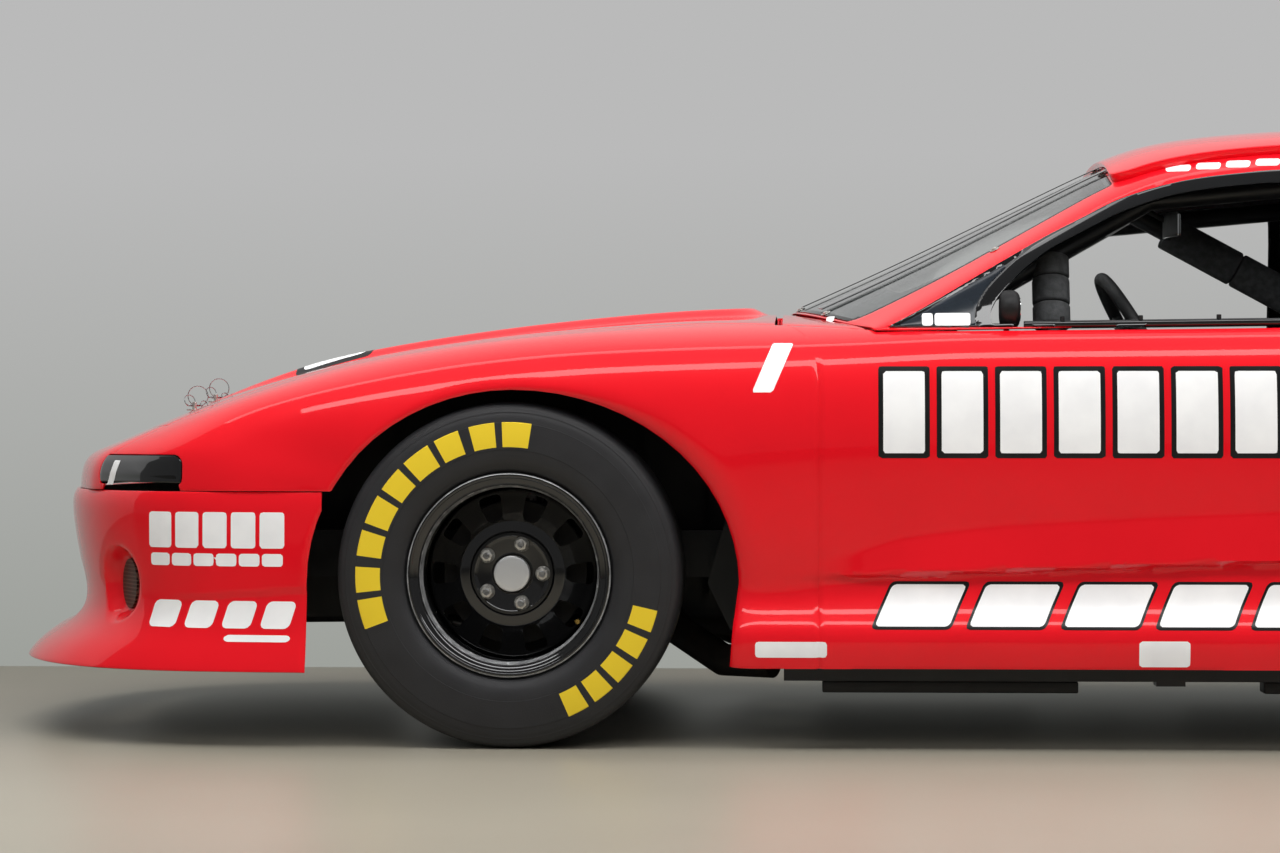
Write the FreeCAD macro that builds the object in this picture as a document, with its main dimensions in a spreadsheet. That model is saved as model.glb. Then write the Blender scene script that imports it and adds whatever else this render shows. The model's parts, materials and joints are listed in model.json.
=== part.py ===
"""Closed-wheel oval-track stock car: composite body over a tube-and-rail chassis.

Drawn with X running from the nose to the tail, Z up and -Y on the car's left.  Every piece is drawn
from the front axle's centre line on the floor, and its Placement then moves it back so that the
origin is under the middle of the whole car.
"""
import FreeCAD, Part
import math
import os
import re
from FreeCAD import Rotation, Vector

doc = FreeCAD.newDocument("stock_car")

# ---------------------------------------------------------------- driving sizes, in millimetres
SIZES = (
    ("wheelbase", 2794),
    ("front_overhang", 1100),
    ("rear_overhang", 1130),
    ("body_width", 1880),
    ("body_height", 1312),
    ("track", 1524),
    ("skin", 5),
    ("seam_gap", 0.9),
    ("lid_gap", 4),
    ("arch_front", 420),
    ("arch_rear", 464),
    ("arch_top", 735),
    ("tyre_diameter", 709),
    ("tyre_width", 300),
    ("tread_width", 272),
    ("bead_diameter", 380),
    ("rim_diameter", 417),
    ("rim_width", 267),
    ("rim_wall", 8),
    ("lug_inset", 97),
    ("lug_circle", 127),
    ("hub_radius", 44),
    ("spindle_radius", 18),
    ("pin_clearance", 0.3),
    ("disc_radius", 150),
    ("kingpin_half", 650),
    ("steering_arm", 105),
    ("ball_low", 215),
    ("ball_high", 495),
    ("rail_width", 76),
    ("rail_height", 102),
    ("rail_half", 700),
    ("rail_bottom", 130),
    ("rail_front", 620),
    ("rail_rear_gap", 894),
    ("snout_half", 360),
    ("snout_bottom", 330),
    ("snout_front", 800),
    ("tube", 44),
    ("floor_height", 185),
    ("sheet", 3),
    ("tunnel_half", 160),
    ("tunnel_top", 430),
    ("firewall_x", 625),
    ("engine_length", 560),
    ("engine_width", 520),
    ("engine_top", 690),
    ("engine_bottom", 190),
    ("axle_radius", 40),
    ("fuel_cell_width", 860),
    ("fuel_cell_length", 540),
    ("wheel_ring", 380),
    ("wheel_lean", 30),
    ("driver_half", 380),
    ("spoiler_height", 105),
)
sheet = doc.addObject("Spreadsheet::Sheet", "sizes")
for row, (alias, number) in enumerate(SIZES, 1):
    sheet.set("A%d" % row, alias)
    sheet.set("B%d" % row, str(number))
    sheet.setAlias("B%d" % row, alias)
doc.recompute()


def size(alias):
    return float(sheet.get(alias))


WORDS = re.compile(r"\b(" + "|".join(sorted((a for a, _ in SIZES), key=len, reverse=True)) + r")\b")
AXLE_X = "(front_overhang - wheelbase - rear_overhang)/2"


def bind(item, **fields):
    """Ties each named property to an expression written with the sheet's own words."""
    for field, text in fields.items():
        item.setExpression(field.replace("__", "."), WORDS.sub(r"sizes.\1", str(text)))
    return item


# ---------------------------------------------------------------- helpers for plain pieces
nodes = []


def node(label, piece):
    """Puts a finished piece under its sub-part's name and moves it behind the nose."""
    holder = doc.addObject("Part::Compound", "n_" + label)
    holder.Links = [piece]
    holder.Label = label
    bind(holder, Placement__Base__x=AXLE_X)
    nodes.append(holder)
    return holder


def fuse(name, pieces):
    item = doc.addObject("Part::MultiFuse", name)
    item.Shapes = list(pieces)
    item.Refine = False
    return item


def box(name, length, width, height, x, y, z):
    """A block whose corner nearest the nose, on the left and lowest is at x, y, z."""
    item = doc.addObject("Part::Box", name)
    return bind(item, Length=length, Width=width, Height=height, Placement__Base__x=x,
                Placement__Base__y=y, Placement__Base__z=z)


AXES = {"x": Rotation(Vector(0, 1, 0), 90), "y": Rotation(Vector(1, 0, 0), -90), "z": Rotation()}


def rod(name, radius, length, x, y, z, axis="z"):
    """A round bar that starts at x, y, z and runs along +X, +Y or +Z."""
    item = doc.addObject("Part::Cylinder", name)
    item.Placement = FreeCAD.Placement(Vector(), AXES[axis])
    return bind(item, Radius=radius, Height=length, Placement__Base__x=x,
                Placement__Base__y=y, Placement__Base__z=z)


def solid(name, shape):
    item = doc.addObject("Part::Feature", name)
    item.Shape = shape
    return item


def tube_between(start, end, radius):
    run = Vector(*end) - Vector(*start)
    return Part.makeCylinder(radius, run.Length, Vector(*start), run)


def tube_run(points, radius):
    """Round tube through the points, with a ball at each bend."""
    parts = [tube_between(a, b, radius) for a, b in zip(points, points[1:])]
    parts += [Part.makeSphere(radius, Vector(*p)) for p in points[1:-1]]
    return parts[0].multiFuse(parts[1:]) if len(parts) > 1 else parts[0]


def mirrored(shape):
    return shape.mirror(Vector(), Vector(0, 1, 0))


def both_sides(shape):
    return Part.makeCompound([shape, mirrored(shape)])


# ---------------------------------------------------------------- the drawn body and its scaling
WB = size("wheelbase")
SKIN = size("skin")
GAP = size("seam_gap")
DRAWN_WHEELBASE = 2794.0
DRAWN_FRONT = 1100.0
DRAWN_REAR = 1130.0
DRAWN_HALF = 940.0
DRAWN_TOP = 1312.0


def along(x):
    """Drawn distance behind the front axle, stretched to the wheelbase and overhangs."""
    if x < 0:
        return x * size("front_overhang") / DRAWN_FRONT
    if x > DRAWN_WHEELBASE:
        return WB + (x - DRAWN_WHEELBASE) * size("rear_overhang") / DRAWN_REAR
    return x * WB / DRAWN_WHEELBASE


def across(y):
    return y * size("body_width") / 2 / DRAWN_HALF


def up(z):
    return z * size("body_height") / DRAWN_TOP


def place(x, y, z):
    return Vector(along(x), across(y), up(z))


def at(line, x):
    """Height on a body line, given as points along the car, at x."""
    if x <= line[0][0]:
        return line[0][1]
    for (x1, z1), (x2, z2) in zip(line, line[1:]):
        if x <= x2:
            return z1 + (z2 - z1) * (x - x1) / (x2 - x1)
    return line[-1][1]


def surface(net):
    """Smooth cubic surface over a net of control points."""
    def knots(count):
        return [float(i) for i in range(count - 2)], [4] + [1] * (count - 4) + [4]
    u_knots, u_mults = knots(len(net))
    v_knots, v_mults = knots(len(net[0]))
    face = Part.BSplineSurface()
    face.buildFromPolesMultsKnots(net, u_mults, v_mults, u_knots, v_knots, False, False, 3, 3)
    return face


def offset_net(net, distance):
    """The net moved along its own normals, outwards for a positive distance."""
    moved = []
    last_i, last_j = len(net) - 1, len(net[0]) - 1
    for i, row in enumerate(net):
        line = []
        for j, point in enumerate(row):
            du = net[min(i + 1, last_i)][j] - net[max(i - 1, 0)][j]
            dv = row[min(j + 1, last_j)] - row[max(j - 1, 0)]
            normal = du.cross(dv)
            normal.normalize()
            line.append(point + normal * distance)
        moved.append(line)
    return moved


def panel(net, u1, u2, v1, v2, outer=0.0, inner=None):
    """A sheet of the body between two parameters each way, from its outer to its inner face."""
    inner = -SKIN if inner is None else inner
    shell_out = surface(offset_net(net, outer) if outer else net).toShape(u1, u2, v1, v2)
    shell_in = surface(offset_net(net, inner)).toShape(u1, u2, v1, v2)
    faces = [shell_out, shell_in]
    for edge_out, edge_in in zip(shell_out.OuterWire.OrderedEdges, shell_in.OuterWire.OrderedEdges):
        faces.append(Part.makeRuledSurface(edge_out, edge_in))
    shell = Part.makeShell(faces)
    shell.sewShape()
    body = Part.Solid(shell)
    if body.Volume < 0:
        body.reverse()
    return body


def block(x1, x2, y1, y2, z1, z2):
    return Part.makeBox(x2 - x1, y2 - y1, z2 - z1, Vector(x1, y1, z1))


# ---------------------------------------------------------------- lines of the body, drawn sizes
CENTRE_LINE = ((-975, 609), (-875, 646), (-781, 693), (-642, 745), (-457, 797), (-271, 832),
               (-87, 860), (98, 884), (282, 902), (450, 915), (557, 919), (720, 919), (1000, 918),
               (2500, 930), (2794, 975), (3000, 984), (3400, 974), (3850, 962), (3900, 948))
SEAM_LINE = ((-890, 600), (-830, 628), (-740, 668), (-600, 725), (-400, 788), (-200, 826), (0, 852),
             (200, 868), (400, 880), (560, 886), (640, 884), (700, 874), (771, 853), (1567, 859),
             (2100, 872), (2500, 888), (2700, 915), (2850, 955), (3000, 972), (3400, 966),
             (3850, 950), (3900, 935))
CROWN_LINE = ((-760, 600), (-674, 655), (-574, 712), (-448, 752), (-301, 788), (-138, 820),
              (40, 842), (250, 853), (500, 855), (770, 840), (1900, 850), (2400, 868), (2700, 900),
              (3000, 936), (3400, 943), (3850, 925))
SHOULDER_LINE = ((-650, 600), (-561, 645), (-461, 688), (-340, 725), (-205, 755), (0, 785),
                 (250, 800), (500, 800), (800, 792), (1500, 798), (2300, 812), (2794, 845),
                 (3200, 872), (3700, 865))
WAIST, LOW, TUCK, FLARE_TOP, FLARE, ROCKER, SILL = 525, 380, 300, 262, 238, 200, 168

# x at the centre line, how far the line bows back at the nose or tail, how far it sweeps back at
# the screen, then half widths at hood seam, crown, shoulder, side, waist, low and tuck, and
# the height of the rounded front edge
STATIONS = (
    (-1033, 650, 0, 640, 780, 850, 885, 895, 905, 905, 525),
    (-1033, 658, 0, 640, 780, 850, 885, 896, 905, 905, 562),
    (-1020, 655, 0, 642, 783, 853, 888, 897, 905, 905, 597),
    (-975, 622, 0, 642, 786, 858, 892, 900, 910, 905, 0),
    (-900, 565, 0, 642, 790, 866, 900, 905, 915, 905, 0),
    (-780, 490, 0, 641, 794, 880, 912, 915, 920, 905, 0),
    (-620, 400, 0, 640, 797, 893, 925, 925, 925, 890, 0),
    (-430, 300, 0, 640, 800, 905, 934, 934, 930, 890, 0),
    (-220, 190, 0, 640, 800, 912, 938, 938, 935, 890, 0),
    (0, 90, 0, 640, 800, 915, 938, 938, 935, 890, 0),
    (190, 20, 60, 640, 802, 914, 937, 936, 930, 890, 0),
    (370, 0, 170, 645, 815, 905, 928, 920, 908, 890, 0),
    (545, 0, 275, 811, 848, 897, 916, 906, 894, 890, 0),
    (720, 0, 290, 816, 850, 896, 915, 905, 893, 890, 0),
    (1000, 0, 250, 817, 850, 896, 915, 905, 893, 890, 0),
    (1300, 0, 200, 818, 850, 896, 915, 905, 893, 890, 0),
    (1600, 0, 150, 818, 850, 896, 915, 905, 893, 890, 0),
    (1900, 0, 100, 818, 850, 896, 915, 905, 895, 892, 0),
    (2200, 0, 50, 817, 850, 898, 920, 912, 905, 890, 0),
    (2500, 0, 0, 812, 848, 902, 930, 930, 925, 890, 0),
    (2794, 0, 0, 725, 835, 906, 936, 936, 933, 890, 0),
    (3060, -10, 0, 655, 820, 904, 934, 934, 928, 890, 0),
    (3330, -60, 0, 640, 805, 892, 922, 920, 912, 890, 0),
    (3560, -150, 0, 638, 792, 878, 908, 906, 900, 890, 0),
    (3740, -240, 0, 635, 780, 866, 898, 898, 893, 885, 0),
    (3860, -310, 0, 632, 770, 858, 892, 893, 890, 882, 0),
    (3900, -340, 0, 630, 765, 855, 890, 891, 888, 880, 0),
)
PLAN_HALF = 895.0
TAIL_SIDE_X = 3560.0
TAIL_RAMP_X = 3250.0
TAIL_BOTTOM = 235
SEAM_INSET = 45
FLARE_OUT = (38, 48, 46, 40)


def plan_lag(share):
    """How far a rounded end falls back, 0 on the centre line and 1 at the side."""
    share = min(abs(share), 1.0)
    return 1 - (1 - share ** 2.5) ** 0.4


def body_half_rows(station):
    """Control points from the centre line out and down to the sill, in drawn sizes."""
    x, bow, sweep, seam, crown, shoulder, side, waist, low, tuck, rise = station

    def lagged(y):
        return x + bow * plan_lag(y / PLAN_HALF) + sweep * min(y / PLAN_HALF, 1.0) ** 2

    def upper(line, y):
        return rise if rise else at(line, lagged(y))

    z_centre, z_seam = upper(CENTRE_LINE, 0), upper(SEAM_LINE, seam)
    z_crown, z_shoulder = upper(CROWN_LINE, crown), upper(SHOULDER_LINE, shoulder)
    z_inner = z_seam + (z_centre - z_seam) * 0.18
    rows = [(0, z_centre), (seam * 0.5, z_centre - (z_centre - z_seam) * 0.28),
            (seam - SEAM_INSET, z_inner), (seam, z_seam), (crown, z_crown), (shoulder, z_shoulder),
            (side, WAIST + 0.45 * (z_shoulder - WAIST)), (waist, WAIST), (low, LOW), (tuck, TUCK)]
    tail = min(max((lagged(tuck) - TAIL_RAMP_X) / (TAIL_SIDE_X - TAIL_RAMP_X), 0), 1)
    for out, z in zip(FLARE_OUT, (FLARE_TOP, FLARE, ROCKER, SILL)):
        rows.append((tuck + out * (1 - 0.75 * tail), z + (TAIL_BOTTOM - SILL) * tail))
    return [(lagged(y), y, z) for y, z in rows]


def full_width(half_rows):
    """Left half from the outside in, then the right half from the centre out."""
    left = [(x, -y, z) for x, y, z in reversed(half_rows)]
    return [place(*point) for point in left + list(half_rows)[1:]]


# Over this net the across parameter is 12 on the centre line and one less for each row to the
# left: 9 at the hood seam, 8 crown, 7 shoulder, 6 side, 5 waist, 4 low, 3 tuck, 0 sill.
# The along parameter is one less than the station's place in the table.
BODY = [full_width(body_half_rows(station)) for station in STATIONS]
MIDDLE = 12
SEAM_V = 9
HOOD_FRONT_U = 3.2
COWL_U = 11.0
DOOR_FRONT_U = 10.33
DOOR_REAR_U = 15.0
TAIL_U = 24.0
SEAM_STEP = 0.0045
LID_STEP = 0.022


def outline(points, curves=()):
    """Face in the XZ plane through the points; a curve list replaces the line that ends it."""
    edges = []
    for a, b in zip(points, points[1:] + points[:1]):
        edges.append(Part.makeLine(Vector(a[0], 0, a[1]), Vector(b[0], 0, b[1])))
    for place_in_ring, middle in curves:
        start, end = points[place_in_ring], points[(place_in_ring + 1) % len(points)]
        through = [Vector(x, 0, z) for x, z in [start] + list(middle) + [end]]
        curve = Part.BSplineCurve()
        curve.interpolate(through)
        edges[place_in_ring] = curve.toShape()
    return Part.Face(Part.Wire(edges))


def prism(face, y1, y2):
    moved = face.copy()
    moved.translate(Vector(0, y1, 0))
    return moved.extrude(Vector(0, y2 - y1, 0))


def arch_tool(centre, top):
    """Wheel opening: a quarter oval ahead of the hub, a longer one behind it, open below."""
    hub = 0.46 * top
    peak_x = centre + 6
    front, rear = size("arch_front"), size("arch_rear")

    def oval(reach, degrees):
        angle = math.radians(degrees)
        return (peak_x + reach * math.cos(angle), hub + (top - hub) * math.sin(angle))

    ring = [(peak_x - front, -20), (peak_x - front, hub), (peak_x, top), (peak_x + rear, hub),
            (peak_x + rear - 12, hub * 0.8), (peak_x + rear - 34, -20)]
    ahead = [oval(-front, angle) for angle in (15, 30, 45, 60, 75)]
    behind = [oval(rear, angle) for angle in (75, 60, 45, 30, 15)]
    return prism(outline(ring, ((1, ahead), (2, behind))), -1200, 1200)


ARCH_FRONT = arch_tool(0.0, size("arch_top"))
ARCH_REAR = arch_tool(WB, size("arch_top"))

# ---------------------------------------------------------------- front and rear bumper covers
NOSE_SIDE_X = -383.0
AROUND = (0, 0.235, 0.47, 0.7, 0.85, 0.93, 0.975, 1.0)
# height, furthest x on the centre line and half width of each level, drawn sizes
FRONT_LEVELS = ((525, -1033, 895), (512, -1046, 900), (470, -1045, 903), (400, -1033, 904),
                (345, -1021, 904), (300, -1013, 904), (262, -1022, 906), (228, -1062, 912),
                (198, -1112, 921), (167, -1142, 929), (157, -1146, 931))
REAR_LEVELS = ((1.0, 3900, 891), (0.93, 3916, 897), (0.8, 3926, 902), (0.65, 3930, 905),
               (0.5, 3930, 905), (0.35, 3926, 904), (0.2, 3912, 900), (0.08, 3895, 895),
               (0.0, 3882, 892))
TAIL_TOP = (946, 944, 941, 934, 924, 908, 885, 850)


def wrap_net(levels, side_x, heights):
    """Net that runs round an end of the body, from the right side to the left."""
    net = []
    for sign, shares in ((1, AROUND[:0:-1]), (-1, AROUND)):
        for share in shares:
            column = []
            for number, (level, end_x, half) in enumerate(levels):
                x = end_x + (side_x - end_x) * plan_lag(share)
                column.append(place(x, sign * half * share, heights(share, level)))
            net.append(column)
    return net


def tail_height(share, level):
    top = TAIL_TOP[AROUND.index(share)]
    return TAIL_BOTTOM + (top - TAIL_BOTTOM) * level


FRONT_WRAP = wrap_net(FRONT_LEVELS, NOSE_SIDE_X, lambda share, level: level)
FRONT_WRAP.reverse()
REAR_WRAP = wrap_net(REAR_LEVELS, TAIL_SIDE_X, tail_height)

# ---------------------------------------------------------------- greenhouse net, drawn sizes
# centre x, z; screen or roof edge x, y, z; window trim's outer line x, y, z; belt x, y, z
GLASSHOUSE = (
    (552, 911, 700, 720, 863, 732, 792, 858, 742, 808, 855),
    (740, 993, 868, 680, 943, 905, 752, 945, 900, 813, 854),
    (920, 1078, 1000, 640, 1020, 1055, 702, 1033, 1030, 815, 854),
    (1105, 1166, 1133, 600, 1097, 1205, 650, 1116, 1170, 816, 855),
    (1288, 1253, 1267, 562, 1177, 1325, 620, 1166, 1320, 817, 856),
    (1400, 1285, 1400, 555, 1215, 1430, 606, 1190, 1440, 817, 857),
    (1600, 1303, 1600, 552, 1237, 1600, 598, 1202, 1600, 818, 859),
    (1850, 1312, 1850, 550, 1244, 1850, 596, 1205, 1850, 818, 865),
    (2100, 1301, 2100, 548, 1231, 2090, 596, 1192, 2100, 818, 873),
    (2330, 1268, 2310, 545, 1197, 2290, 606, 1155, 2320, 816, 881),
    (2550, 1190, 2500, 560, 1122, 2470, 645, 1070, 2480, 812, 890),
    (2770, 1090, 2720, 598, 1042, 2650, 690, 990, 2640, 775, 912),
    (2980, 987, 2950, 645, 975, 2850, 712, 960, 2790, 738, 944),
)


def glass_half_rows(row):
    xc, zc, xe, ye, ze, xt, yt, zt, xb, yb, zb = row
    rows = [(xc, 0, zc)]
    for share in (0.45, 0.8):
        fall = share ** 2.2
        rows.append((xc + (xe - xc) * fall, ye * share, zc + (ze - zc) * fall))
    rows += [(xe, ye, ze), (xt, yt, zt), ((xt + xb) / 2, (yt + yb) / 2 + 12, (zt + zb) / 2)]
    rows.append((xb, yb, zb))
    return rows


# Across parameter: 5 on the centre line, 2 at the left screen edge, 1 at the trim, 0 at the belt.
GLASS = [full_width(glass_half_rows(row)) for row in GLASSHOUSE]
WINDSCREEN = (0.03, 2.9, 2.22, 7.78)
REAR_SCREEN = (8.35, 9.8, 2.2, 7.8)
ROOF_RISE = 20
ROOF_PANEL = (2.95, 8.25, 2.06, 7.94)
TRIM_RING = ((770, 861), (839, 897), (948, 962), (1031, 1011), (1107, 1055), (1184, 1095), (1261, 1134),
             (1350, 1163), (1433, 1181), (1527, 1192), (1600, 1198), (1740, 1200), (1775, 1190), (1800, 864))
WINDOW_RING = ((988, 868), (984, 890), (1000, 923), (1030, 957), (1065, 990), (1117, 1029), (1194, 1070),
               (1265, 1106), (1354, 1137), (1437, 1154), (1524, 1164), (1600, 1169), (1715, 1168),
               (1742, 1150), (1762, 868))
QUARTER_RING = ((1850, 880), (1840, 1150), (1880, 1166), (2080, 1150), (2290, 1085), (2400, 990),
                (2395, 905), (2370, 893))


def ring_prism(ring, inset=0.0, y_near=300.0):
    """Side prism over a ring of points, on the left; a negative inset grows the ring."""
    points = [(along(x), up(z)) for x, z in ring]
    face = outline(points)
    if inset:
        face = Part.Face(face.OuterWire.makeOffset2D(-inset))
    return prism(face, -1000, -y_near)


# ---------------------------------------------------------------- body panels
def duct_line(side):
    """Middle of a brake duct's screen and the way it faces, on the left for side -1."""
    x, y, z = DUCT_AT
    return (Vector(along(x), side * across(y), up(z)),
            Vector(-math.cos(DUCT_TURN), side * math.sin(DUCT_TURN), 0))


def lids_and_shells():
    """Every body panel as a solid, by name."""
    shapes = {}
    lamp = {}
    for side, v1, v2 in (("left", SEAM_V - 2.2, SEAM_V + LAMP_OVER), ("right", 24 - SEAM_V - LAMP_OVER,
                                                                      24 - SEAM_V + 2.2)):
        lamp[side] = (0.14, 2.3, v1, v2)
    lamp_end, lamp_foot, lamp_head = along(LAMP_REAR_X), up(LAMP_FOOT), up(LAMP_HEAD)
    room = block(-2000, lamp_end, -1200, 1200, lamp_foot, lamp_head)
    lamp_tools = [panel(BODY, *lamp[side], outer=20, inner=-25).common(room) for side in ("left", "right")]
    lamp_gap = 0.006
    room = block(-2000, lamp_end - GAP, -1200, 1200, lamp_foot + GAP, lamp_head - GAP)
    shapes["headlight_covers"] = Part.makeCompound([
        panel(BODY, u1 + lamp_gap, u2 - lamp_gap, v1 + lamp_gap, v2 - lamp_gap).common(room)
        for u1, u2, v1, v2 in lamp.values()])

    hood_cut = along(HOOD_REAR_X)
    hood = panel(BODY, HOOD_FRONT_U + LID_STEP, COWL_U + 0.4, SEAM_V + LID_STEP, 24 - SEAM_V - LID_STEP)
    hood = hood.common(block(-2000, hood_cut, -1200, 1200, 0, 2000))
    bulge = panel(BODY, HOOD_FRONT_U + 0.5, COWL_U - 1.1, MIDDLE - 1.45, MIDDLE + 1.45,
                  outer=BULGE, inner=-SKIN / 2)
    crown = panel(BODY, HOOD_FRONT_U + 5, COWL_U - 0.1, MIDDLE - 1.45, MIDDLE + 1.45,
                  outer=BULGE, inner=-SKIN / 2)
    crown = crown.common(block(-2000, along(BULGE_REAR_X), -across(BULGE_HALF), across(BULGE_HALF), 0, 2000))
    notch = block(hood_cut - 12, hood_cut + 5, -HINGE_Y - 24, -HINGE_Y - 6, 0, 2000)
    lug = hinge_lug(HOOD_PIVOT[0], HOOD_PIVOT[1], hood_cut - 20)
    corner = panel(BODY, COWL_U - 1.8, COWL_U + 0.5, SEAM_V - 0.1, SEAM_V + CORNER_STEP,
                   outer=30, inner=-30)
    hood = hood.cut([notch, mirrored(notch), corner, mirrored(corner)])
    shapes["hood"] = hood.multiFuse([bulge, crown, lug, mirrored(lug)])
    cowl = panel(BODY, COWL_U - 1.2, COWL_U - 0.09, SEAM_V + SEAM_STEP, 24 - SEAM_V - SEAM_STEP)
    shapes["cowl_panel"] = cowl.common(block(hood_cut + COWL_SLOT, 2000, -1200, 1200, 0, 2000))
    nose = panel(BODY, 0, HOOD_FRONT_U, SEAM_V + SEAM_STEP, 24 - SEAM_V - SEAM_STEP)
    shapes["nose_panel"] = nose.cut(lamp_tools)

    seam_z = up(525)
    below_seam = block(-2000, along(-300), -1200, 1200, -50, seam_z - 0.001)
    fender = panel(BODY, 0, DOOR_FRONT_U, 0, SEAM_V)
    shapes["left_fender"] = fender.cut([ARCH_FRONT, below_seam, lamp_tools[0]])
    door = panel(BODY, DOOR_FRONT_U + SEAM_STEP * 0.8, DOOR_REAR_U, 0, SEAM_V)
    shapes["left_door"] = door
    quarter = panel(BODY, DOOR_REAR_U + SEAM_STEP * 0.8, TAIL_U, 0, SEAM_V)
    cover_room = panel(REAR_WRAP, 0, 12, 0, 6, outer=12, inner=-14)
    quarter = quarter.cut([ARCH_REAR, cover_room])
    shapes["left_quarter"] = max(quarter.Solids, key=lambda piece: piece.Volume)
    deck_cut = along(DECK_FRONT_X)
    deck = panel(BODY, 18.2, TAIL_U - LID_STEP, SEAM_V + LID_STEP, 24 - SEAM_V - LID_STEP)
    notch = block(deck_cut - 5, deck_cut + 12, -HINGE_Y - 24, -HINGE_Y - 6, 0, 2000)
    lug = hinge_lug(along(DECK_PIVOT[0]), up(DECK_PIVOT[1]), deck_cut + 20)
    deck = deck.common(block(deck_cut, 6000, -1200, 1200, 0, 2000)).cut([notch, mirrored(notch)])
    shapes["deck_lid"] = deck.multiFuse([lug, mirrored(lug)])

    wrap = panel(FRONT_WRAP, 0, 12, 0, 8)
    wrap = wrap.cut(block(-2000, 0, -1200, 1200, seam_z - GAP, 2000))
    mouth = block(-2000, along(-900), -across(430), across(430), up(250), up(338))
    middle, facing = duct_line(-1)
    duct = Part.makeCylinder(DUCT_RADIUS + SEAT_GAP, 400, middle - facing * 100, facing)
    collar = Part.makeCylinder(DUCT_RADIUS + SEAT_GAP + SHEET, 150, middle, facing)
    outside = panel(FRONT_WRAP, 0, 6, 0, 8, outer=200, inner=-SKIN / 2)
    collar = collar.cut([duct, outside])
    collar = max(collar.Solids, key=lambda piece: piece.Volume)
    shapes["front_fascia"] = wrap.cut([ARCH_FRONT, mouth, duct, mirrored(duct)]).multiFuse(
        [collar, mirrored(collar)])
    tail_gap = along(REAR_COVER_X) + GAP
    wrap = panel(REAR_WRAP, 0, 12, 0, 6).common(block(tail_gap, 6000, -1200, 1200, 0, 2000))
    split = up(TAIL_SPLIT)
    shapes["tail_panel"] = wrap.common(block(0, 6000, -1200, 1200, split + GAP, 2000))
    shapes["rear_fascia"] = wrap.common(block(0, 6000, -1200, 1200, 0, split))
    return shapes


HOOD_REAR_X = 541
COWL_SLOT = 16
DECK_FRONT_X = 3004
BULGE = 17
BULGE_REAR_X, BULGE_HALF = 505, 320
LAMP_REAR_X, LAMP_FOOT, LAMP_HEAD, LAMP_OVER = -683, 529, 599, 0.2
CORNER_STEP = 0.16
DUCT_TURN = math.radians(27)
DUCT_AT = (-809, 700, 328)
DUCT_RADIUS, DISC_LONG = 52, 8
REAR_COVER_X = 3560
TAIL_SPLIT = 620


def greenhouse():
    shapes = {}
    shell = panel(GLASS, 0.02, 9.97, 0.02, 9.98)
    front_tool = panel(GLASS, *WINDSCREEN, outer=40, inner=-40)
    rear_tool = panel(GLASS, *REAR_SCREEN, outer=40, inner=-40)
    trims = ring_prism(TRIM_RING)
    quarters = ring_prism(QUARTER_RING)
    tools = [front_tool, rear_tool, trims, mirrored(trims), quarters, mirrored(quarters)]
    crown = panel(GLASS, *ROOF_PANEL, outer=ROOF_RISE, inner=-SKIN / 2)
    shapes["roof"] = shell.cut(tools).fuse(crown)

    step = 0.004

    def glass_in(name, u1, u2, v1, v2):
        shapes[name] = panel(GLASS, u1 + step, u2 - step, v1 + step, v2 - step, inner=-SKIN)

    glass_in("windshield", *WINDSCREEN)
    glass_in("rear_window", *REAR_SCREEN)
    inner_trim = ring_prism(TRIM_RING, GAP)
    opening = ring_prism(WINDOW_RING)
    trim = shell.common(inner_trim).cut(opening)
    shapes["window_trims"] = Part.makeCompound([trim, mirrored(trim)])
    pane = shell.common(ring_prism(QUARTER_RING, GAP))
    shapes["quarter_windows"] = Part.makeCompound([pane, mirrored(pane)])
    return shapes


# ---------------------------------------------------------------- wheels, as turned and drilled bodies
def origin_plane(body, role):
    return [item for item in body.Origin.OriginFeatures if item.Role == role][0]


def sketch_ring(sketch, points, curves=()):
    """Closed ring of straight edges; a curve entry (edge, through point) makes an arc instead."""
    arcs = dict(curves)
    for number, (start, end) in enumerate(zip(points, points[1:] + points[:1])):
        a, b = Vector(start[0], start[1], 0), Vector(end[0], end[1], 0)
        if number in arcs:
            middle = Vector(arcs[number][0], arcs[number][1], 0)
            sketch.addGeometry(Part.Arc(a, middle, b), False)
        else:
            sketch.addGeometry(Part.LineSegment(a, b), False)


def turned_body(label, points, curves=()):
    """A body turned about the Y axis from a ring of (along the axle, radius) points."""
    body = doc.addObject("PartDesign::Body", label + "_body")
    sketch = body.newObject("Sketcher::SketchObject", label + "_section")
    sketch.AttachmentSupport = [(origin_plane(body, "YZ_Plane"), "")]
    sketch.MapMode = "FlatFace"
    sketch_ring(sketch, points, curves)
    turn = body.newObject("PartDesign::Revolution", label + "_turn")
    turn.Profile = sketch
    turn.ReferenceAxis = (sketch, ["H_Axis"])
    turn.Angle = 360
    body.Label = label
    return body


HUB_HEIGHT = size("tyre_diameter") / 2
WHEEL_BACK = -size("rim_width") / 2
DISC_BACK, DISC_FRONT = -62, -40


def tyre_section():
    """Tyre cut through, with the bead inside the flanges and a bulged sidewall."""
    bead, half = size("bead_diameter") / 2, size("tyre_width") / 2
    outer, tread = size("tyre_diameter") / 2, size("tread_width") / 2
    seat = size("rim_width") / 2 - FLANGE_THICK - 1
    lip = size("rim_diameter") / 2 + 3
    shoulder = outer - 16
    ring = [(-seat, bead), (seat, bead), (seat, lip), (tread + 6, shoulder), (tread - 14, outer - 3),
            (-tread + 14, outer - 3), (-tread - 6, shoulder), (-seat, lip)]
    middle = lip + 0.45 * (shoulder - lip)
    arcs = ((2, (half, middle)), (3, (tread - 1, outer - 6)), (4, (0, outer)),
            (5, (-tread + 1, outer - 6)), (6, (-half, middle)))
    return ring, arcs


FLANGE_THICK = 12


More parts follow.
